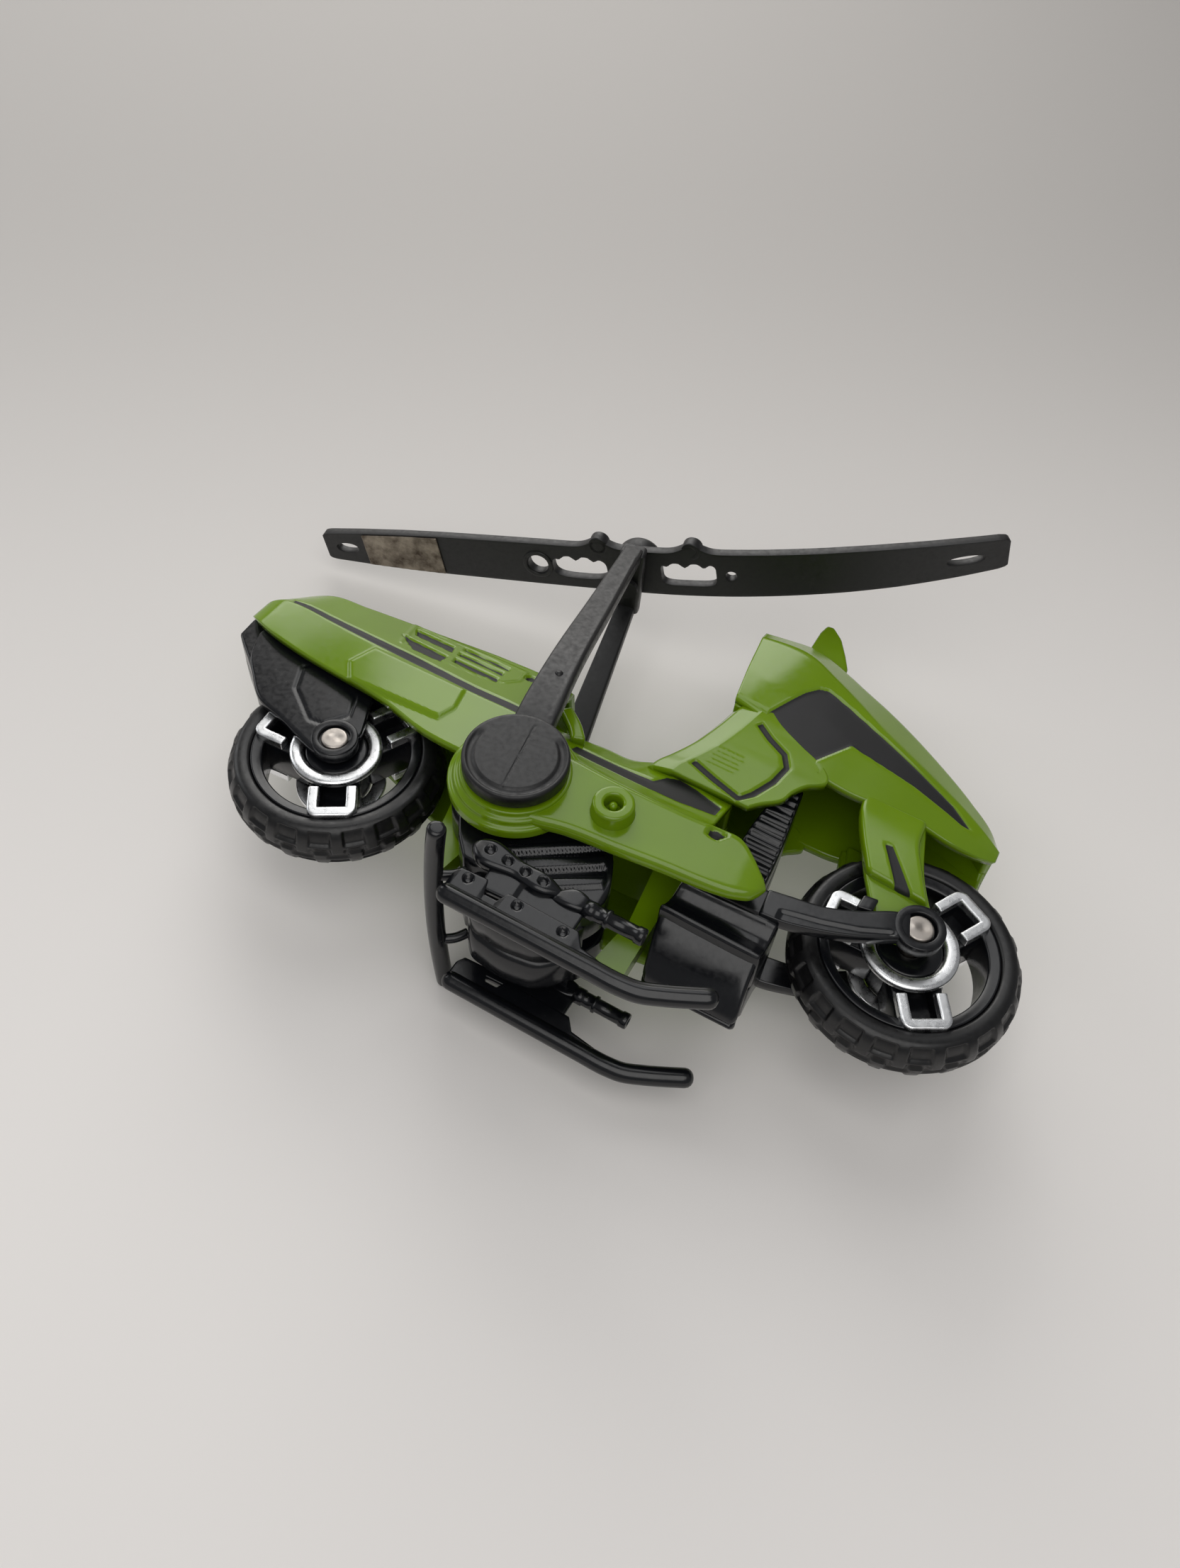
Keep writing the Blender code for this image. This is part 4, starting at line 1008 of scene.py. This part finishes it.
# ---------------------------------------------------------------- skids and gun racks
# A round skid rail under each side, bent up in front, with fine grooves along it. The rack above it is
# moulded on: drilled plates, a toy gun with a hollow muzzle and the arms that reach the pod.
def tube(name, path, radius, edge, paint, slot, body, nodes, axis=(0, 1, 0), grain=0.4, square=2.0,
         groove=0.0, sides=40):
    """Bar along a smooth path, square to an axis: its section is |c|^square + |s|^square = 1, scaled
    by the radius, with rounded ends and, where asked, fine grooves at its outer side."""
    points = np.asarray(path, float)
    spots = np.concatenate([[0], np.cumsum(np.linalg.norm(np.diff(points, axis=0), axis=-1))])
    total = spots[-1]
    ends = edge * (1 - np.cos(np.linspace(0.0, np.pi / 2, 5)))
    plain = np.linspace(edge, total - edge, max(3, int(total / grain)))
    where = np.concatenate([ends[:-1], plain, total - ends[-2::-1]])
    middle = through(spots, points, where)
    near_end = np.clip(np.minimum(where, total - where) / edge, 0, 1)
    r = radius - edge * np.minimum(1 - np.sqrt(1 - (1 - near_end) ** 2), 0.97)
    ahead = np.gradient(middle, axis=0)
    ahead /= np.linalg.norm(ahead, axis=1, keepdims=True)
    up = np.cross(np.asarray(axis, float), ahead)
    up /= np.linalg.norm(up, axis=1, keepdims=True)
    out = np.cross(ahead, up)
    turn = np.arange(sides) * 2 * np.pi / sides
    c, s = np.cos(turn), np.sin(turn)
    size = (np.abs(c) ** square + np.abs(s) ** square) ** (-1 / square)
    near = np.minimum(np.abs(turn - np.pi * 0.35), np.abs(turn - np.pi * 0.65))
    size = size - groove * np.exp(-((near / 0.13) ** 2))
    rings = middle[:, None] + (r[:, None] * size)[..., None] * (
        s[:, None] * out[:, None] + c[:, None] * up[:, None]
    )
    index = np.arange(rings[..., 0].size).reshape(rings.shape[:2])
    loops = np.concatenate([index, index[:, :1]], axis=1)
    return finish(name, rings, quads(loops), paint, slot, body, nodes, None, (index[0, ::-1], index[-1]))


def disc_outline(x, z, radius):
    """Outline of a drilled hole."""
    turn = np.arange(18) * 2 * np.pi / 18
    return np.stack([x + radius * np.cos(turn), z + radius * np.sin(turn)], -1)


SKID_Y = 11.7
SKID = [(-13.6, 1.4), (-9.0, 1.4), (0.0, 1.4), (9.0, 1.4), (13.0, 1.42), (15.2, 1.7), (18.4, 3.0),
        (21.4, 4.5), (24.4, 6.1)]
RAIL = [
    (-13.2, 2.0, -13.2, 4.2, 10.9, 12.3), (-12.6, 2.0, -12.4, 5.4, 10.9, 12.6),
    (-8.6, 2.0, -8.6, 5.6, 10.9, 12.6), (-7.6, 2.0, -8.0, 3.6, 10.9, 12.4),
    (-6.0, 2.0, -6.0, 3.6, 10.9, 12.4), (-5.5, 2.0, -5.2, 5.2, 10.9, 12.6),
    (5.2, 2.0, 5.2, 5.0, 10.9, 12.6), (6.4, 2.0, 6.6, 3.2, 10.9, 12.4),
    (11.0, 2.0, 11.0, 2.6, 10.9, 12.2),
]
PLATE = [
    (-9.2, 4.2, -9.6, 8.0, 11.0, 12.2), (-4.6, 4.4, -4.8, 8.2, 11.0, 12.2),
    (-4.4, 4.8, -4.5, 8.0, 11.0, 11.9), (4.4, 4.6, 4.4, 7.8, 11.0, 11.9),
]
RACK = [
    (-13.6, 9.2, -13.2, 10.2, 11.0, 12.6), (-12.8, 8.2, -12.4, 10.7, 11.0, 12.9),
    (-6.0, 7.6, -6.0, 10.4, 11.0, 12.9), (-1.4, 7.4, -1.6, 10.1, 11.0, 12.9),
    (0.8, 8.6, 0.2, 9.6, 11.0, 12.3),
]
GUN_LOBE = [(-0.6, 7.6, -0.2, 9.2, 11.0, 12.2), (1.2, 7.4, 1.4, 10.4, 11.0, 12.5),
            (3.2, 7.6, 3.6, 10.3, 11.0, 12.5), (4.4, 8.0, 4.6, 9.8, 11.0, 12.2)]
BARREL = [
    (0.55, 4.0), (1.25, 4.0), (1.25, 5.4), (1.1, 5.5), (1.1, 7.0), (1.3, 7.1), (1.3, 7.5), (1.05, 7.6),
    (1.05, 11.4), (1.2, 11.5), (1.2, 12.4), (1.1, 12.6), (0.6, 12.6), (0.55, 12.2),
]
BORE = [(0.02, 4.1), (0.56, 4.1), (0.56, 11.0), (0.02, 11.0)]
GUN_Z = 8.9
holes_top = [disc_outline(x, z, 0.62) for x, z in ((-10.6, 9.3), (-7.8, 9.1), (-5.0, 8.9), (-2.3, 8.8))]
holes_low = [disc_outline(x, z, 0.6) for x, z in ((-10.9, 4.3), (-3.4, 4.1), (3.5, 3.8))]
for label, side in SIDES:
    rack = ["skid_" + label]
    y = side * SKID_Y
    tube("skid_rail_" + label, [(x, y, z) for x, z in SKID], 1.4, 1.25, *BLACK_PART, rack,
         groove=0.07, axis=(0, side, 0))
    bar("rack_foot_" + label, side, RAIL, 0.3, *BLACK_PART, rack, soft=False, grain=0.2,
        dents=[(hole, -0.55, 0.12) for hole in holes_low])
    bar("rack_plate_" + label, side, PLATE, 0.3, *BLACK_PART, rack, soft=False)
    bar("rack_arm_" + label, side, RACK, 0.75, *BLACK_PART, rack, grain=0.2,
        dents=[(hole, -0.6, 0.12) for hole in holes_top])
    bar("gun_body_" + label, side, GUN_LOBE, 0.6, *BLACK_PART, rack)
    spun("gun_barrel_" + label, (0.0, y, GUN_Z), (1, 0, 0), BARREL, *BLACK_PART, rack, 36)
    spun("gun_bore_" + label, (0.0, y, GUN_Z), (1, 0, 0), BORE, *BLACK_PART, rack, 24)
    for k, x in enumerate((-10.8, 1.8)):
        post = [(x, side * 9.2, 9.7), (x, side * 10.2, 9.7), (x, side * 11.3, 9.4)]
        tube("rack_post_%s_%d" % (label, k + 1), post, 0.8, 0.2, *BLACK_PART, rack,
             axis=(0, 0, 1), square=5, sides=28)


# ---------------------------------------------------------------- rear crossbar
# A bar behind the pod that bows backwards and ties the two skids together, with two short links.
BAR_X = -15.6
BAR_Z = 4.6
span = np.linspace(-20, 20, 17)
bow = [(BAR_X - 1.2 * (1 - (y / 20) ** 2), y, BAR_Z) for y in span]
tube("crossbar", bow, 1.3, 0.6, *BLACK_PART, ["rear_crossbar"], axis=(0, 0, 1), groove=0.06)
for label, side in SIDES:
    link_path = [(BAR_X - 0.9, side * 8.4, BAR_Z), (-14.4, side * 8.2, 6.1), (-13.3, side * 8.0, 7.6)]
    tube("crossbar_link_" + label, link_path, 0.75, 0.2, *BLACK_PART, ["rear_crossbar"])


# ---------------------------------------------------------------- engine block and front arm
# Two glossy black halves that close on the middle line: a keel like a ship's, a hollowed flank between
# two ridges, a ribbed radiator behind the front wheel, and the arm that reaches the front axle.
KEEL = [
    (11.5, 16.7, 26.0, 16.5, 0.15, 7.4), (11.9, 14.0, 26.2, 14.0, 0.15, 5.6),
    (12.4, 11.8, 26.5, 11.8, 0.15, 3.7), (12.9, 10.0, 26.7, 10.2, 0.15, 1.9),
    (13.2, 9.4, 26.6, 9.6, 0.15, 1.2),
]
FLANK = [
    (11.4, 15.8, 12.2, 21.0, 0.15, 8.4), (12.6, 15.8, 13.6, 24.0, 0.15, 8.5),
    (16.0, 15.7, 16.4, 24.9, 0.15, 8.5), (22.0, 15.6, 22.0, 26.1, 0.15, 8.5),
    (25.0, 15.6, 24.4, 26.4, 0.15, 8.5), (26.2, 15.8, 26.2, 23.2, 0.15, 8.3),
]
HOLLOW = [(11.0, 17.4), (27.0, 17.1), (27.0, 20.4), (11.0, 20.2)]
RIDGES = [
    [(10.8, 16.8), (27.0, 16.5), (27.0, 15.9), (10.8, 16.0)],
    [(10.8, 21.4), (27.0, 21.8), (27.0, 21.1), (10.8, 20.7)],
]
RADIATOR = [
    (15.8, 24.0, 22.0, 24.0, 0.15, 6.0), (15.8, 30.0, 21.7, 30.0, 0.15, 6.0),
    (15.9, 36.5, 21.2, 36.5, 0.15, 6.0), (16.4, 42.0, 20.5, 42.0, 0.15, 6.0),
    (16.8, 46.4, 20.0, 46.4, 0.15, 5.8),
]
FINS = [[(14.0, z), (24.0, z - 0.1), (24.0, z + 0.6), (14.0, z + 0.7)] for z in np.arange(27.6, 46.0, 1.5)]
ARM_PATH = [
    (23.2, 21.8, 22.8, 26.0, 7.2, 9.0), (26.4, 22.0, 26.2, 26.5, 7.2, 9.2),
    (31.0, 23.3, 30.2, 27.3, 7.2, 9.2), (36.0, 25.3, 34.8, 29.3, 7.2, 9.2),
    (40.0, 27.6, 38.6, 31.6, 7.2, 9.2), (42.0, 28.8, 40.8, 32.6, 7.2, 9.1),
]
ARM_STEP = [(25.6, 21.0), (31.5, 22.4), (36.6, 24.6), (40.4, 27.0), (39.7, 28.4), (35.8, 26.5), (31.0, 24.9),
            (25.6, 23.6)]
for label, side in SIDES:
    block = ["engine_block_" + label]
    bar("block_keel_" + label, side, KEEL, 0.8, *BLACK_PART, block)
    bar("block_flank_" + label, side, FLANK, 0.5, *BLACK_PART, block, soft=False, grain=0.28,
        dents=[(HOLLOW, -1.1, 1.4)] + [(ridge, 0.35, 0.3) for ridge in RIDGES])
    bar("radiator_" + label, side, RADIATOR, 0.4, *BLACK_PART, block, grain=0.22,
        dents=[(fin, -0.55, 0.2) for fin in FINS])
    bar("front_arm_" + label, side, ARM_PATH, 0.35, *BLACK_PART, block, grain=0.28,
        dents=[(ARM_STEP, -0.35, 0.3)])
    stop = [(34.0, 30.2, 34.2, 32.6, 5.4, 8.2), (36.2, 30.6, 36.3, 32.9, 5.4, 8.2)]
    bar("fork_stop_" + label, side, stop, 0.3, *BLACK_PART, block)
    collar = arcs([(1.6, 7.2), (3.5, 7.2), (3.5, 9.2), (2.35, 9.2), (2.2, 8.2), (1.6, 8.2)], 0.18)
    spun("front_boss_" + label, *lateral(FRONT_AXLE[[0, 2]], side), collar, *BLACK_PART, block, 64)


# ---------------------------------------------------------------- rear fork
# Two glossy black halves: a flat arm beside the wheel with a line round its panel, a round boss over
# the axle, and a block with a small foot behind the wheel.
FORK = [
    (-65.2, 28.9, -65.0, 31.0, 4.8, 6.2), (-63.6, 24.9, -62.6, 31.3, 4.8, 6.3),
    (-60.2, 21.0, -58.0, 31.4, 4.8, 6.3), (-57.0, 18.3, -53.6, 31.3, 4.8, 6.3),
    (-52.0, 16.9, -49.0, 31.2, 4.8, 6.3), (-47.4, 15.5, -44.4, 30.6, 4.8, 6.3),
    (-44.2, 14.6, -41.8, 25.0, 4.8, 6.3), (-41.6, 14.5, -40.0, 20.6, 4.8, 6.2),
]
FORK_PANEL = [(-55.4, 26.8), (-54.0, 28.6), (-50.6, 28.8), (-44.6, 26.0), (-43.2, 22.4), (-45.6, 19.0),
              (-48.0, 18.6), (-53.6, 22.6)]
BEHIND = [
    (-69.0, 28.4, -69.2, 32.3, 0.15, 4.3), (-67.6, 27.2, -67.8, 32.5, 0.15, 4.5),
    (-64.6, 24.9, -65.0, 32.5, 0.15, 4.5), (-61.4, 22.2, -62.8, 32.4, 0.15, 4.5),
    (-59.9, 21.4, -60.9, 30.0, 0.15, 4.3),
]
FOOT = [
    (-65.6, 29.0, -65.2, 31.4, 4.2, 5.2), (-64.2, 26.4, -63.2, 31.0, 4.2, 5.2),
    (-61.6, 26.2, -62.0, 30.8, 4.2, 5.1),
]
for label, side in SIDES:
    fork = ["rear_fork_" + label]
    bar("fork_arm_" + label, side, FORK, 0.4, *BLACK_PART, fork, grain=0.25,
        dents=ring_dent(FORK_PANEL, -0.16, 0.5))
    bar("fork_block_" + label, side, BEHIND, 0.4, *BLACK_PART, fork, soft=False)
    bar("fork_foot_" + label, side, FOOT, 0.3, *BLACK_PART, fork)
    collar = arcs([(1.6, 4.8), (3.4, 4.8), (3.4, 6.9), (2.3, 6.9), (2.2, 6.0), (1.6, 6.0)], 0.2)
    spun("rear_boss_" + label, *lateral(REAR_AXLE[[0, 2]], side), collar, *BLACK_PART, fork, 64)


# ---------------------------------------------------------------- tyres
# Hard black plastic rings with a crowned tread: twenty raised blocks round each shoulder with a
# sunken pad between each pair, the far shoulder's half a step round from the near one's.
RUBBER = plastic("tyre_plastic", (0.0055, 0.0055, 0.006), 0.34, ripple=0.008, ripple_size=1.0, wear=0.015)
LUGS = 20
TYRE_R = 16.1
# Each wheel: its end of the toy, its axle and the angle of its first spoke.
WHEELS = (("front", FRONT_AXLE, 61), ("rear", REAR_AXLE, 63))


def tread(angle, over):
    """Radius and depth of the tyre: half an ellipse that starts well out on one flat sidewall and
    ends on the other, sunk by half a millimetre in each shoulder pad and on the crown between the
    blocks."""
    pitch = 2 * np.pi / LUGS
    y = -4.05 * np.cos(over) + 0 * angle
    r = 13.9 + (TYRE_R - 13.9) * np.sin(over)
    phase = (angle / pitch + np.where(y > 0, 0.5, 0.0)) % 1.0 - 0.5
    round_way = ramp(1.45 - np.abs(phase) * pitch * 15.0, 0.22)
    pad = round_way * ramp(1.0 - np.abs(np.abs(y) - 2.55), 0.2)
    crown = round_way * ramp(1.0 - np.abs(y), 0.35)
    return r - 0.55 * pad - 0.4 * crown, y


def tyre(name, axle, node, body):
    """Tread over the crown and a flat band inside, closed into a ring."""
    angle = np.linspace(0, 2 * np.pi, 561)[:-1][:, None]
    over = np.linspace(0.04, np.pi - 0.04, 64)[None]
    r, y = tread(angle, over)
    ones = np.ones((angle.size, 1))
    r = np.concatenate([r, 12.9 * ones, 12.5 * ones, 12.5 * ones, 12.9 * ones], axis=1)
    y = np.concatenate([y, 4.05 * ones, 3.75 * ones, -3.75 * ones, -4.05 * ones], axis=1)
    points = np.stack([axle[0] + r * np.cos(angle), y, axle[2] + r * np.sin(angle)], -1)
    index = np.arange(r.size).reshape(r.shape)
    index = np.concatenate([index, index[:1]], axis=0)
    index = np.concatenate([index, index[:, :1]], axis=1)
    finish(name, points, quads(index), RUBBER, "tyre_plastic", body, [node])


for end, axle, first in WHEELS:
    tyre(end + "_tread", axle, end + "_tyre", end + "_wheel")


# ---------------------------------------------------------------- rims
# Glossy black spoked rims, open between the spokes: a ring in the tyre, a hub on the rivet and three
# pairs of flat bars.
def spoke_lines(first):
    """For each of three spokes, the way out along it and the way across it, as (x, z)."""
    turn = np.radians(first + 120 * np.arange(3))
    out = np.stack([np.cos(turn), np.sin(turn)], -1)
    return zip(out, np.stack([-out[:, 1], out[:, 0]], -1))


def rim(name, axle, first, node, body):
    """A turned ring and hub and, for each spoke, a bar on each side of its line and a thin web."""
    foot, axis = lateral(axle[[0, 2]], 1)
    ring = arcs([(10.8, -3.5), (12.4, -3.95), (12.4, 3.95), (10.8, 3.5)], 0.3)
    spun(name + "_ring", foot, axis, ring, BLACK, "black_plastic", body, [node], 120)
    hub = arcs([(1.6, -4.0), (4.6, -4.0), (4.6, 4.0), (1.6, 4.0)], 0.4)
    spun(name + "_hub", foot, axis, hub, BLACK, "black_plastic", body, [node], 72)
    for k, (out, aside) in enumerate(spoke_lines(first)):
        for j, shift in enumerate((-2.7, 2.7)):
            stations = []
            for reach in (3.4, 7.0, 11.5):
                middle = axle[[0, 2]] + reach * out + shift * aside
                stations.append((*(middle - 0.75 * aside), *(middle + 0.75 * aside), -3.1, 3.1))
            bar("%s_bar_%d" % (name, 2 * k + j + 1), 1, stations, 0.25, BLACK, "black_plastic", body, [node])
        web = []
        for reach in (4.0, 7.0, 11.2):
            middle = axle[[0, 2]] + reach * out
            web.append((*(middle - 2.4 * aside), *(middle + 2.4 * aside), -0.8, 0.8))
        bar("%s_web_%d" % (name, k + 1), 1, web, 0.2, BLACK, "black_plastic", body, [node])


for end, axle, first in WHEELS:
    rim(end + "_wheel_rim", axle, first, end + "_rim", end + "_wheel")


# ---------------------------------------------------------------- bright trims
# Plated inserts on both faces of each wheel: a ring round the hub and a U-shaped cap over each pair
# of bars. The plating is dull and scratched, and gone in spots on the edges.
def plating(name, colour, roughness, worn):
    """Bright metal with a cloudy gloss and dark spots, where the cloud is above worn."""
    paint, tree, shader = nodes_of(name)
    place = add(tree, "ShaderNodeTexCoord")
    cloud = add(tree, "ShaderNodeTexNoise", Scale=700.0, Detail=6.0, Roughness=0.7)
    tree.links.new(place.outputs["Object"], cloud.inputs["Vector"])
    gloss = add(
        tree, "ShaderNodeMapRange", From_Min=0.35, From_Max=0.7, To_Min=roughness, To_Max=roughness * 2.2
    )
    gone = two_tone(tree, worn, colour, worn + 0.05, (0.06, 0.06, 0.06))
    bump = add(tree, "ShaderNodeBump", Strength=0.4, Distance=0.00006)
    tree.links.new(cloud.outputs["Fac"], gloss.inputs["Value"])
    tree.links.new(cloud.outputs["Fac"], gone.inputs["Fac"])
    tree.links.new(cloud.outputs["Fac"], bump.inputs["Height"])
    tree.links.new(gone.outputs["Color"], shader.inputs["Base Color"])
    tree.links.new(gloss.outputs["Result"], shader.inputs["Roughness"])
    tree.links.new(bump.outputs["Normal"], shader.inputs["Normal"])
    shader.inputs["Metallic"].default_value = 1.0
    return paint


CHROME = plating("bright_plating", (0.86, 0.87, 0.88), 0.2, 0.66)
# A cap's line from the axle: how far out along the spoke and how far to its side.
CAP_ARM = [(7.2, 2.7), (8.5, 2.7), (10.4, 2.7), (11.2, 2.62), (11.55, 2.3), (11.6, 1.5)]
CAP = [(reach, -shift) for reach, shift in CAP_ARM] + [(11.6, 0.0)] + CAP_ARM[::-1]


def trim(name, axle, first, side, node, body):
    """The turned ring, and a square bar along a U: out on one side of the spoke, across, and back."""
    foot, axis = lateral(axle[[0, 2]], side)
    ring = arcs([(4.75, 3.5), (6.75, 3.5), (6.75, 4.35), (6.3, 4.55), (5.2, 4.5), (4.75, 4.2)], 0.2)
    spun(name + "_ring", foot, axis, ring, CHROME, "bright_plating", body, [node], 96)
    for k, (out, aside) in enumerate(spoke_lines(first)):
        path = []
        for reach, shift in CAP:
            x, z = axle[[0, 2]] + reach * out + shift * aside
            path.append((x, side * 3.85, z))
        tube("%s_cap_%d" % (name, k + 1), path, 0.78, 0.15, CHROME, "bright_plating", body, [node], square=7,
             grain=0.25)


for end, axle, first in WHEELS:
    for label, side in SIDES:
        trim("%s_bright_%s" % (end, label), axle, first, side, "%s_trim_%s" % (end, label), end + "_wheel")


# ---------------------------------------------------------------- rivets
# Steel rivets that the wheels turn on, each with a flat hammered head sunk in the arm's boss. The
# mast turns on a steel cross pin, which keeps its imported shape.
STEEL = plating("rivet_steel", (0.5, 0.46, 0.42), 0.3, 0.76)


def hammered(angle, r, h):
    """The head's face has a shallow dent and a low bump, each a bell curve of the distance from it."""
    dent = np.exp(-((r * np.cos(angle) - 0.4) ** 2 + (r * np.sin(angle) - 0.3) ** 2) / 0.35)
    bump = np.exp(-((r * np.cos(angle) + 0.7) ** 2 + (r * np.sin(angle) + 0.2) ** 2) / 0.2)
    return r, h - (h > h.max() - 0.4) * (0.16 * dent - 0.08 * bump)


def rivet(name, axle, face, node):
    """A shank across the toy and a domed head on each end."""
    tube(name + "_shank", [(axle[0], y, axle[2]) for y in np.linspace(-face, face, 5)], 1.2, 0.1, STEEL,
         "rivet_steel", "toy", [node], axis=(0, 0, 1))
    for label, side in SIDES:
        head = [(r, face + 0.55 - 0.05 * (r / 1.95) ** 2) for r in np.linspace(0.02, 1.7, 14)]
        head += [(1.88, face + 0.42), (1.95, face + 0.25), (1.95, face), (0.02, face)]
        spun("%s_head_%s" % (name, label), *lateral(axle[[0, 2]], side), head, STEEL, "rivet_steel", "toy",
             [node], 64, hammered)


rivet("front_rivet", FRONT_AXLE, 8.5, "front_axle")
rivet("rear_rivet", REAR_AXLE, 6.2, "rear_axle")
repaint("mast_axle", STEEL)
